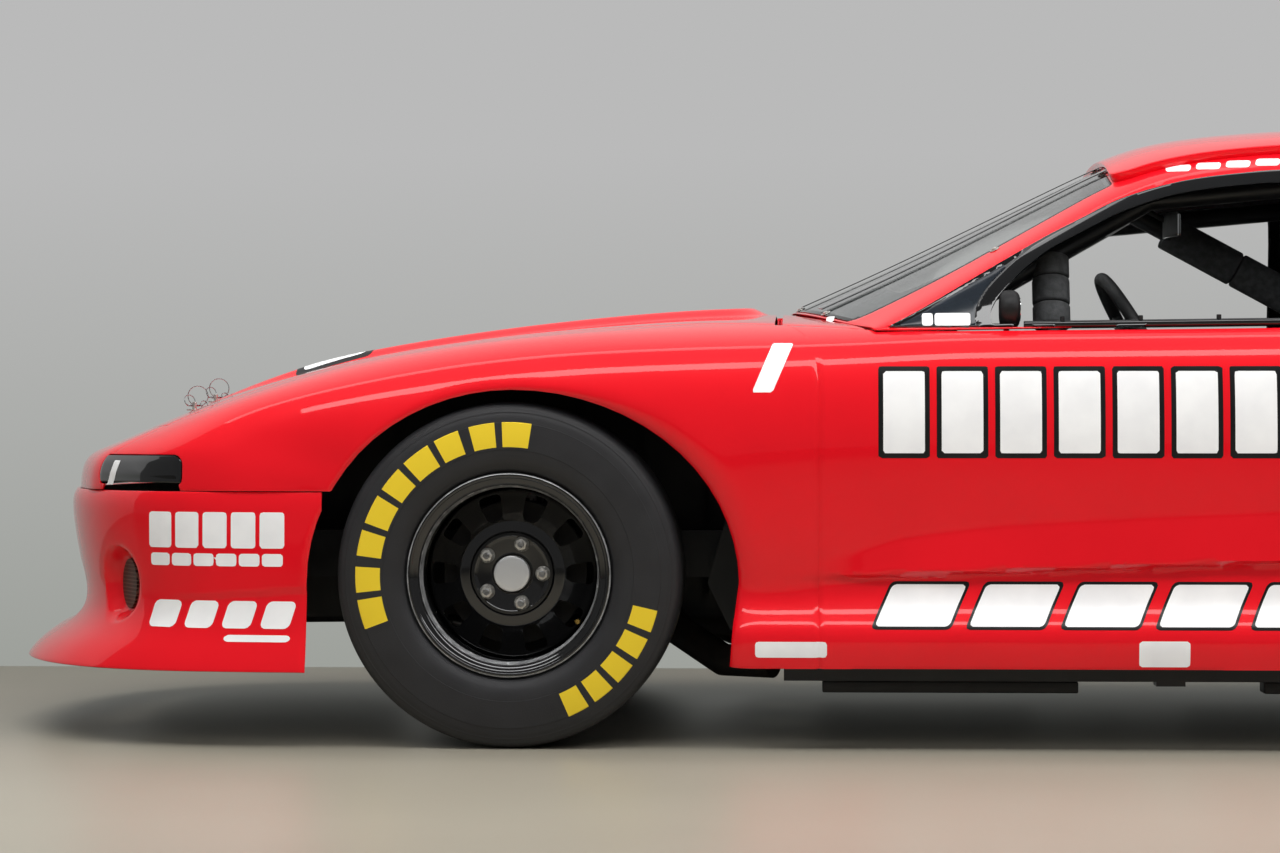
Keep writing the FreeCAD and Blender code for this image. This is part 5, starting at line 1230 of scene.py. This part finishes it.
# %% Cut the ten windows
WINDOW_COUNT, WINDOW_RADIUS, WINDOW_SIZE, FOOT_SHARE = 10, 0.1395, (0.050, 0.12, 0.055), 0.66


def window_wedge(turn):
    """A blunt wedge, wider outwards, with rounded corners, standing over one window."""
    middle = (AXLE[0], AXLE[1], AXLE[2] + WINDOW_RADIUS)
    bpy.ops.object.select_all(action="DESELECT")
    bpy.ops.mesh.primitive_cube_add(size=1, location=middle)
    bpy.context.object.scale = WINDOW_SIZE
    wedge = placed("window_wedge")
    bpy.ops.object.mode_set(mode="EDIT")
    bpy.ops.mesh.select_all(action="DESELECT")
    work = bmesh.from_edit_mesh(wedge.data)
    for face in work.faces:
        face.select = face.normal.z < -0.9
    bmesh.update_edit_mesh(wedge.data)
    bpy.ops.transform.resize(value=(FOOT_SHARE, 1, 1), center_override=middle)
    for edge in work.edges:
        edge.select = abs(edge.verts[0].co.y - edge.verts[1].co.y) > 0.05
    bmesh.update_edit_mesh(wedge.data)
    bpy.ops.mesh.bevel(offset=0.0125, segments=5, affect="EDGES")
    bpy.ops.mesh.select_all(action="SELECT")
    bpy.ops.transform.rotate(value=turn, orient_axis="Y", center_override=AXLE)
    bpy.ops.object.mode_set(mode="OBJECT")
    return wedge


wedges = joined("window_wedges", *(window_wedge(math.radians(18 + 36 * k)) for k in range(WINDOW_COUNT)))
changed(dish, "BOOLEAN", object=wedges, operation="DIFFERENCE", solver="EXACT")
bpy.data.objects.remove(wedges)
wheel = coated(joined("left_front_wheel_body", rim, rounded(dish, 2.4, 3, 48)), wheel_enamel, worn_and_highlit_edge)
# pale steel faces on the rim's lip and the well's edge: partly wear, partly a painted highlight ring
for face in wheel.data.polygons:
    radius = 1000 * math.hypot(face.center.x - AXLE[0], face.center.z - AXLE[2])
    out = 1000 * (AXLE[1] - face.center.y)
    worn_and_highlit_ring = (206.5 < radius < 209.2 and out > 126) or (179 < radius < 184 and 92 < out < 116)
    face.material_index = int(worn_and_highlit_ring)
changed(smooth(wheel, 40), "WEIGHTED_NORMAL", keep_sharp=True)
print("wheel", len(wheel.data.polygons), "faces")

# %% [markdown]
# Five bright nuts on coned seats hold the wheel on its studs round a spun cap, and the brass valve
# stands in the rim.  The brake disc behind them is cast, with a groove between its two faces; its
# finish is the dark cast iron, darker than a bare disc, as painted shade behind the wheel's windows.

# %% Nuts, cap, valve and brake disc
BOLT_COUNT, BOLT_CIRCLE, VALVE_RADIUS, VALVE_TURN = 5, 0.0635, 0.168, -36
CONE = [(41, 15.5), (44, 15.5), (45.5, 14), (52, 11.5), (52, 6), (41, 6)]
STUD = [(66, 7), (70.5, 6.6), (71.5, 5.4), (71.5, 0.4), (66, 0.4)]
CAP = [(36, 37.4), (54, 37.4), (57.5, 36.4), (59, 34), (59.4, 30), (60, 14), (60, 0.4), (36, 0.4)]
VALVE = [(10, 5), (30, 4.6), (31, 4), (47, 4), (47, 5.6), (58, 5.6), (59, 4.6), (59, 0.4), (10, 0.4)]
BRAKE = [(-62, 19), (-62, 149), (-60.5, 150), (-54, 150), (-53, 146), (-49, 146), (-48, 150), (-41.5, 150),
         (-40, 149), (-40, 62), (-37, 60), (-10, 60), (-6, 46), (34, 44), (34, 19)]


def spun(name, centre, section, finish, sides=32):
    return smooth(coated(turned(name, centre, section, sides), finish), 30)


def round_axle(radius, turn):
    """A point at a radius from the axle, in metres, and a turn round it."""
    return AXLE[0] + radius * math.cos(turn), AXLE[1], AXLE[2] + radius * math.sin(turn)


fittings = []
for k in range(BOLT_COUNT):
    turn = math.radians(72 * k)
    x, y, z = round_axle(BOLT_CIRCLE, turn)
    bpy.ops.object.select_all(action="DESELECT")
    bpy.ops.mesh.primitive_cylinder_add(vertices=6, radius=0.0128, depth=0.016, location=(x, y - 0.0595, z),
                                        rotation=(math.radians(90), turn, 0))
    nut = smooth(coated(rounded(placed("nut"), 1.4, 2, 30), plated_steel), 30)
    fittings += [spun("seat_cone", (x, y, z), CONE, plated_steel), nut,
                 spun("stud", (x, y, z), STUD, bare_steel)]
fittings += [spun("hub_cap", AXLE, CAP, turned_alloy, 72),
             spun("valve", round_axle(VALVE_RADIUS, math.radians(VALVE_TURN)), VALVE, brass, 20)]
for piece, stands, slot_name in (
        (tyre, "tyre", "tyre_rubber"), (wheel, "wheel", "black_steel"),
        (joined("left_front_fittings", *fittings), None, "bare_steel"),
        # the brake disc's dark cast iron is painted shade behind the wheel's windows
        (spun("left_front_brake", AXLE, BRAKE, cast_iron, 72), None, "bare_steel")):
    rear = duplicate(piece, "front", "rear", Matrix.Translation((WHEELBASE / 1000, 0, 0)))
    for corner, part in (("left_front_", piece), ("left_rear_", rear)):
        seat(part, corner + "wheel", stands and corner + stands, slot_name)
print("four corners ready")

# %% [markdown]
# ## Chassis, cage and cabin
# The welded, cast and folded parts keep the shapes that the CAD gave them.  Their meshes are loose
# triangles, so each is copied, its doubles are merged so that round tubes can shade smoothly, and
# it gets the finish of its trade: baked powder on tube, bright alloy sheet, bare machined steel.
# Cast, moulded and folded parts have their corners rounded too, the spoiler's black blade included.

# %% Carry over the frame and running gear
def carried(node, finish, round_off=0.0):
    """A merged and smoothed copy of a CAD node, which it stands for."""
    source = frame["nodes"][node]
    copy = coated(into_scene(node + "_made", source.data.copy()), finish)
    select_only(copy)
    if copy.data.has_custom_normals:
        bpy.ops.mesh.customdata_custom_splitnormals_clear()
    bpy.ops.object.mode_set(mode="EDIT")
    bpy.ops.mesh.select_all(action="SELECT")
    bpy.ops.mesh.remove_doubles(threshold=0.00001)
    if round_off:
        bpy.ops.mesh.dissolve_limited(angle_limit=math.radians(1))
    bpy.ops.object.mode_set(mode="OBJECT")
    if round_off:
        rounded(copy, round_off, 3, 60)
    smooth(copy, 30)
    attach(copy, source["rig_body"])
    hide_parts(node)
    return copy


for finish, nodes in (
        (frame_coat, "chassis_frame front_control_arms rear_axle engine_mounts roll_cage"),
        (cast_iron, "left_knuckle right_knuckle gearbox"), (bare_steel, "drive_shaft"), (fins, "radiator"),
        (plated_steel, "tie_rod dampers_and_springs steering_column"),
        (alloy_sheet, "floor_pan rear_bulkhead"),
        (black_sheet, "foot_boxes radiator_duct"), (pipe_coat, "exhaust_pipes"),
        (grip_rubber, "steering_wheel"), (wire, "screens")):
    for node in nodes.split():
        carried(node, finish)
for node, finish, round_off in (("engine", cast_iron, 14), ("fuel_cell", moulded_plastic, 12),
                                ("side_skids", moulded_plastic, 3), ("dashboard", black_sheet, 2),
                                ("driver_seat", seat_cloth, 6), ("rear_spoiler", black_acrylic, 1.2)):
    carried(node, finish, round_off)
wall = carried("firewall", alloy_sheet)
wall.data.materials.append(red_paint)
PAINTED_ABOVE, HOOD_UNDERSIDE = 0.84, 0.9
for face in wall.data.polygons:
    face.material_index = int(face.center.z > PAINTED_ABOVE)
for vertex in wall.data.vertices:
    vertex.co.z = min(vertex.co.z, HOOD_UNDERSIDE)

# %% [markdown]
# Sheets close off the engine bay and the boot, so that nobody sees through the wheel openings.
# They are beaten alloy painted satin black, with pressed beads every 140 mm to stop them drumming,
# and are cut out round the cross members, mounts and axle.

# %% Inner panels of the wheel openings
def inner_panel(name, y, x1, x2, z1, top, cutouts):
    """A beaded upright sheet at y, up to the line top(x), with rectangular cutouts."""
    def sheet(u, v):
        x = x1 + (x2 - x1) * u
        return np.stack([x, np.full(len(x), y), z1 + (top(x) - z1) * v], axis=1)

    def keep(points, u, v):
        return np.minimum.reduce([box_distance(points[:, 0], points[:, 2], *cut, 8) for cut in cutouts])

    def beads(points, outwards, u, v):
        x, _, z = points.T
        rib = bell((x - x1) % 140, 70, 9) * ramp(keep(points, u, v), 8, 24)
        return points + outwards * (5 * rib * ramp(z, z1 + 25, z1 + 50) * ramp(top(x) - z, 25, 50))[:, None]

    walled("left_" + name, sheet, (0, 1, 0, 1), 12, keep, beads, wall=1.5, edge=0.3, middle=(0.5, 0.5),
           finishes=(black_sheet, black_sheet))


under = BODY(*every_pair(np.linspace(0, 24, 200), np.linspace(9.0, 12, 60)))


def skin_line(y):
    """Height of the body over the line at y, as a function of x."""
    near = under[np.abs(np.abs(under[:, 1]) - y) < 12]
    near = near[np.argsort(near[:, 0])]
    return lambda x: np.interp(x, near[:, 0], near[:, 2])


over_bay = skin_line(302)
inner_panel("bay_sheet", -302, -655, 608, 236, lambda x: over_bay(x) - 22,
            ((-218, -142, 328, 402), (142, 238, 338, 412), (206, 294, 230, 342)))
inner_panel("wheel_tub", -578, 2330, 3292, 240, lambda x: np.full(len(x), 838.0),
            ((2694, 2894, 290, 420),))

# %% [markdown]
# ## Padding, mirrors, sill rail and screen straps
# Foam sleeves are slit lengths of closed-cell tube pushed over the bars near the driver's head.

# %% Sleeves of foam
def metres(point):
    """A point given in millimetres behind the front axle, in the frame's metres."""
    return Vector((point[0] / 1000 + AXLE_X, point[1] / 1000, point[2] / 1000))


def rod_between(name, start, end, radius, finish, sides, round_off=0.0):
    """A round bar between two points in millimetres, with rounded ends."""
    a, b = metres(start), metres(end)
    bpy.ops.object.select_all(action="DESELECT")
    bpy.ops.mesh.primitive_cylinder_add(vertices=sides, radius=radius / 1000, depth=(b - a).length,
                                        location=(a + b) / 2,
                                        rotation=(b - a).to_track_quat("Z", "Y").to_euler())
    bar = placed(name)
    if round_off:
        rounded(bar, round_off, 4, 60)
    return smooth(coated(bar, finish), 35)


def sleeve(name, start, end, cuts, radius):
    """Foam sleeves end to end along a bar, joined as one pad."""
    start, run = np.array(start, float), np.array(end, float) - start
    gap = 0.8 / np.linalg.norm(run)
    pad = joined(name, *(rod_between(name, start + run * (low + gap), start + run * (high - gap), radius,
                                     closed_foam, 48, 6) for low, high in zip(cuts, cuts[1:])))
    seat(pad, "root", "cage_padding", "black_foam")


sleeve("strut_pad", (1122, -652, 800), (1122, -573, 1025), (0.29, 0.5, 0.75, 0.96), 39.5)
sleeve("diagonal_bar_pad", (1335, -100, 1140), (1830, -100, 870), (0.16, 0.48, 0.8), 39.5)

# %% [markdown]
# The wide inside mirror is a silvered strip in a moulded back, bent round the driver's line of
# sight, so it is laid like a skin.  The small one outside sits in a round cup on a short arm.

# %% Mirrors
def ring_of(name, centre, major, minor, finish, tilt):
    bpy.ops.object.select_all(action="DESELECT")
    bpy.ops.mesh.primitive_torus_add(major_radius=major / 1000, minor_radius=minor / 1000, major_segments=40,
                                     minor_segments=10, rotation=tilt, location=metres(centre))
    return smooth(coated(placed(name), finish), 40)


def curved_mirror(u, v):
    """A wide mirror bent round the driver's line of sight."""
    turn = (u - 0.5) * 1.5
    return np.stack([1402 + 70 * (1 - np.cos(turn)), -265 + 150 * np.sin(turn), 1072 + 54 * v], axis=1)


mirror = walled("inside_mirror", curved_mirror, (0, 1, 0, 1), 6, wall=9, edge=2.5, middle=(0.5, 0.5),
                finishes=(silvered_glass, moulded_plastic), body=None)
stem = rod_between("mirror_stem", (1396, -265, 1112), (1357, -265, 1133), 6, moulded_plastic, 20, 1)
shell = [rod_between("cup", (1004, -770, 899), (1046, -770, 899), 40, moulded_plastic, 48, 16),
         rod_between("glass", (1045.4, -770, 899), (1047, -770, 899), 24, silvered_glass, 40),
         rod_between("arm", (1018, -772, 866), (1020, -786, 735), 6, moulded_plastic, 20)]
for piece in (joined("inside_mirror", mirror, stem), joined("side_mirror", *shell)):
    seat(piece, "root", "mirrors", "mirror_face")

# %% [markdown]
# A window net hooks on the short posts along the rod at each sill.  Flat straps brace the screen
# against being pushed in, and screws on broad washers hold the sheets to the roof and pillars.

# %% Sill rail with its net posts, and the screen straps with their screws
POST_PITCH, STRAP_WIDE, STRAP_LIFT = 159.4, 0.16, 7.0
rail = [rod_between("rail", (1052, -803, 866), (1770, -806, 874), 8.5, black_acrylic, 24, 2)]
for x in np.arange(1131, 1760, POST_PITCH):
    z = 866 + (x - 1010) * 0.0105
    rail.append(rod_between("post", (x, -803, z), (x, -803, z + 17), 5, moulded_plastic, 20, 1.5))
seat(joined("left_sill_rail", *rail))


def over_glass(u, v, lift):
    """Points lifted off the greenhouse along its normals, in millimetres."""
    return GLASS(u, v) + normals(GLASS, u, v) * lift


for number, middle_v in enumerate((3.55, 4.45, 5.55, 6.45)):
    walled("screen_strap_%d" % number,
           lambda u, w: over_glass(u, middle_v + (w - 0.5) * STRAP_WIDE, STRAP_LIFT), (0.06, 3.0, 0, 1), 12,
           wall=2, edge=0.4, middle=(1.5, 0.5), finishes=(black_acrylic,))
screws = []
for u, v in ((1.1, 2.16), (0.05, 3.3), (0.05, 4.45), (2.86, 3.55), (2.86, 4.45)):
    for side_v in (v, 10 - v):
        base, washer_top, head = (over_glass(np.array([u]), np.array([side_v]), lift)[0]
                                  for lift in (0.2, 2.2, 5.5))
        screws.append(rod_between("washer", base, washer_top, 11, plated_steel, 32, 1))
        screws.append(rod_between("screw", base, head, 5.5, plated_steel, 20, 2))
seat(joined("screen_screws", *screws))

# %% [markdown]
# ## Hood pins
# The hood is held down by pins with sprung clips.  Each clip hangs on a loop of thin wire rope,
# modelled here as short fixed rings because they stand up stiffly from the hood.

# %% Four hood pins
def on_hood(x, y):
    """The hood's surface at x and y, in millimetres."""
    u, v = every_pair(np.linspace(2.5, 5, 90), np.linspace(9, 15, 180))
    points = hood_shape(BODY(u, v), normals(BODY, u, v), u, v)
    return points[np.argmin((points[:, 0] - x) ** 2 + (points[:, 1] - y) ** 2)]


for number, y in enumerate((-450, -200, 200, 450)):
    foot = on_hood(-722, y)
    low = 0 if number < 2 else 14  # the right-hand loops lie lower
    parts = [rod_between("plate", foot + [0, 0, -1.5], foot + [0, 0, 1.5], 17, plated_steel, 36, 0.8),
             rod_between("pin", foot + [0, 0, -8], foot + [0, 0, 17], 5, plated_steel, 20, 1.5),
             rod_between("clip", foot + [-16, -4, 10], foot + [18, 4, 10], 1.6, bare_steel, 12),
             ring_of("eye", foot + [20, 5, 12], 8, 1.2, bare_steel, (1.2, 0.3, 0.4)),
             ring_of("loop", foot + [6, 10, 30 - low], 22 - low / 2, 0.9, bare_steel, (1.45, 0.2, 0.3)),
             ring_of("small_loop", foot + [-10, -2, 20 - low / 2], 13 - low / 4, 0.9, bare_steel,
                     (1.2, -0.5, 0.9))]
    seat(joined("hood_pin_%d" % number, *parts), "hood")

# %% [markdown]
# ## Stage, light and camera
# A pale concrete floor meets a grey wall.  The wall shows only its front, so that a camera behind
# it still sees the car.  Two wide soft boxes hang overhead and one fills in from the front; they
# stay out of the reflections, which come from two long strips over the shoulder and the roof.

# %% Floor and wall
# Sealed concrete: pale and faintly clouded.  Its darkening towards the wall and far behind the camera is
# painted shade.
floor_finish, tree, place = new_finish("pale_sealed_concrete")
cloud = add(tree, "TexNoise", {"Vector": place, "Scale": 1.4, "Detail": 4.0})
tone = tones(add(tree, "ValToRGB", {"Fac": cloud.outputs["Fac"]}), "#9C9687", "#A6A091")
deep = add(tree, "SeparateXYZ", {0: place}).outputs["Y"]
# painted shade: the floor darkens towards the wall, and dims far behind the camera
painted_floor_shade = add(tree, "MapRange", {"Value": deep, "From Min": -2.2, "From Max": 0.9, "To Min": 1.0,
                              "To Max": 0.62})
unlit = add(tree, "MapRange", {"Value": deep, "From Min": -11, "From Max": -8, "To Min": 0.2, "To Max": 1.0})
painted_floor_shade = add(tree, "Math", {0: painted_floor_shade.outputs["Result"], 1: unlit.outputs["Result"]}, operation="MULTIPLY")
shade = add(tree, "Mix", {0: 1.0, 6: tone, 7: painted_floor_shade.outputs[0]}, data_type="RGBA",
            blend_type="MULTIPLY")
close_finish(tree, add(tree, "BsdfPrincipled", {"Base Color": shade.outputs[2], "Roughness": 0.38}))
bpy.ops.mesh.primitive_plane_add(size=60, location=(0, 0, 0))
floor = coated(placed("floor"), floor_finish)
# Painted board, seen as it is and not as the lamps leave it: a glowing grey that lightens upwards,
# where the darker foot is painted shade and the brighter glow above 1.9 m is painted light for reflections.
wall_finish, tree, place = new_finish("grey_painted_wall")
height = add(tree, "SeparateXYZ", {0: place}).outputs["Z"]
climb = add(tree, "MapRange", {"Value": height, "From Min": -0.1, "From Max": 1.4})
# painted shade: the wall's grey darkens towards the floor
grey = tones(add(tree, "ValToRGB", {"Fac": climb.outputs["Result"]}), "#9B9E98", "#BABABA")
# painted light: the wall glows brighter above 1.9 m so that the paint reflects it
lit = add(tree, "MapRange", {"Value": height, "From Min": 1.9, "From Max": 3.4, "To Min": 1.0,
                             "To Max": 1.3})
seen = add(tree, "Emission", {"Color": grey, "Strength": lit.outputs["Result"]})
paint = add(tree, "BsdfDiffuse", {"Color": linear("#B9B9B9")})
path = add(tree, "LightPath").outputs
looked = add(tree, "Math", {0: path["Is Camera Ray"], 1: path["Is Glossy Ray"]}, operation="MAXIMUM")
looked = add(tree, "Math", {0: looked.outputs[0], 1: path["Is Transmission Ray"]}, operation="MAXIMUM")
front_side = add(tree, "MixShader", {0: looked.outputs[0], 1: paint.outputs[0], 2: seen.outputs[0]})
clear = add(tree, "BsdfTransparent")
facing = add(tree, "NewGeometry").outputs["Backfacing"]
close_finish(tree, add(tree, "MixShader", {0: facing, 1: front_side.outputs[0], 2: clear.outputs[0]}))
bpy.ops.mesh.primitive_plane_add(size=1, location=(0, 1.47, 4), rotation=(math.radians(90), 0, 0))
bpy.context.object.scale = (60, 8, 1)
backdrop = coated(placed("backdrop"), wall_finish)
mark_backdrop(floor, backdrop)

# %% Lamps, world and camera
def soft_box(name, place, aim, size, watts, mirrored=True):
    lamp = bpy.data.lights.new(name, "AREA")
    lamp.shape, lamp.size, lamp.size_y, lamp.energy = "RECTANGLE", size[0], size[1], watts
    holder = into_scene(name, lamp)
    holder.location = place
    holder.rotation_euler = (Vector(aim) - Vector(place)).to_track_quat("-Z", "Y").to_euler()
    holder.visible_glossy = mirrored


soft_box("overhead_box", (-0.3, -1.8, 4.6), (-0.3, -0.6, 0.4), (8, 3.0), 205, False)
soft_box("rear_overhead_box", (0.0, 0.4, 4.9), (0.0, 0.3, 0.6), (8, 1.6), 90, False)
soft_box("front_fill_box", (-1.5, -7.5, 3.6), (-0.5, 0, 0.5), (7, 3), 150, False)
soft_box("shoulder_strip", (0.6, -2.5, 3.6), (0.6, -0.7, 0.8), (9, 0.7), 100)
soft_box("roof_strip", (-0.3, 0.2, 4.2), (-0.3, 0, 1.0), (9, 0.5), 25)
world = bpy.data.worlds.new("studio")
bpy.context.scene.world = world
world.use_nodes = True
sky = world.node_tree.nodes["Background"].inputs
sky["Color"].default_value, sky["Strength"].default_value = linear("#C4C4C4"), 0.3
bpy.context.scene.view_settings.view_transform = "Standard"
camera_data = bpy.data.cameras.new("camera")
camera_data.sensor_width = 36
camera_data.lens = 96.834375
camera = into_scene("camera", camera_data)
camera.location = (AXLE_X + 0.596, -7.895, 0.658)
camera.rotation_euler = (math.radians(90), 0, math.radians(2.68))
bpy.context.scene.camera = camera

low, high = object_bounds()
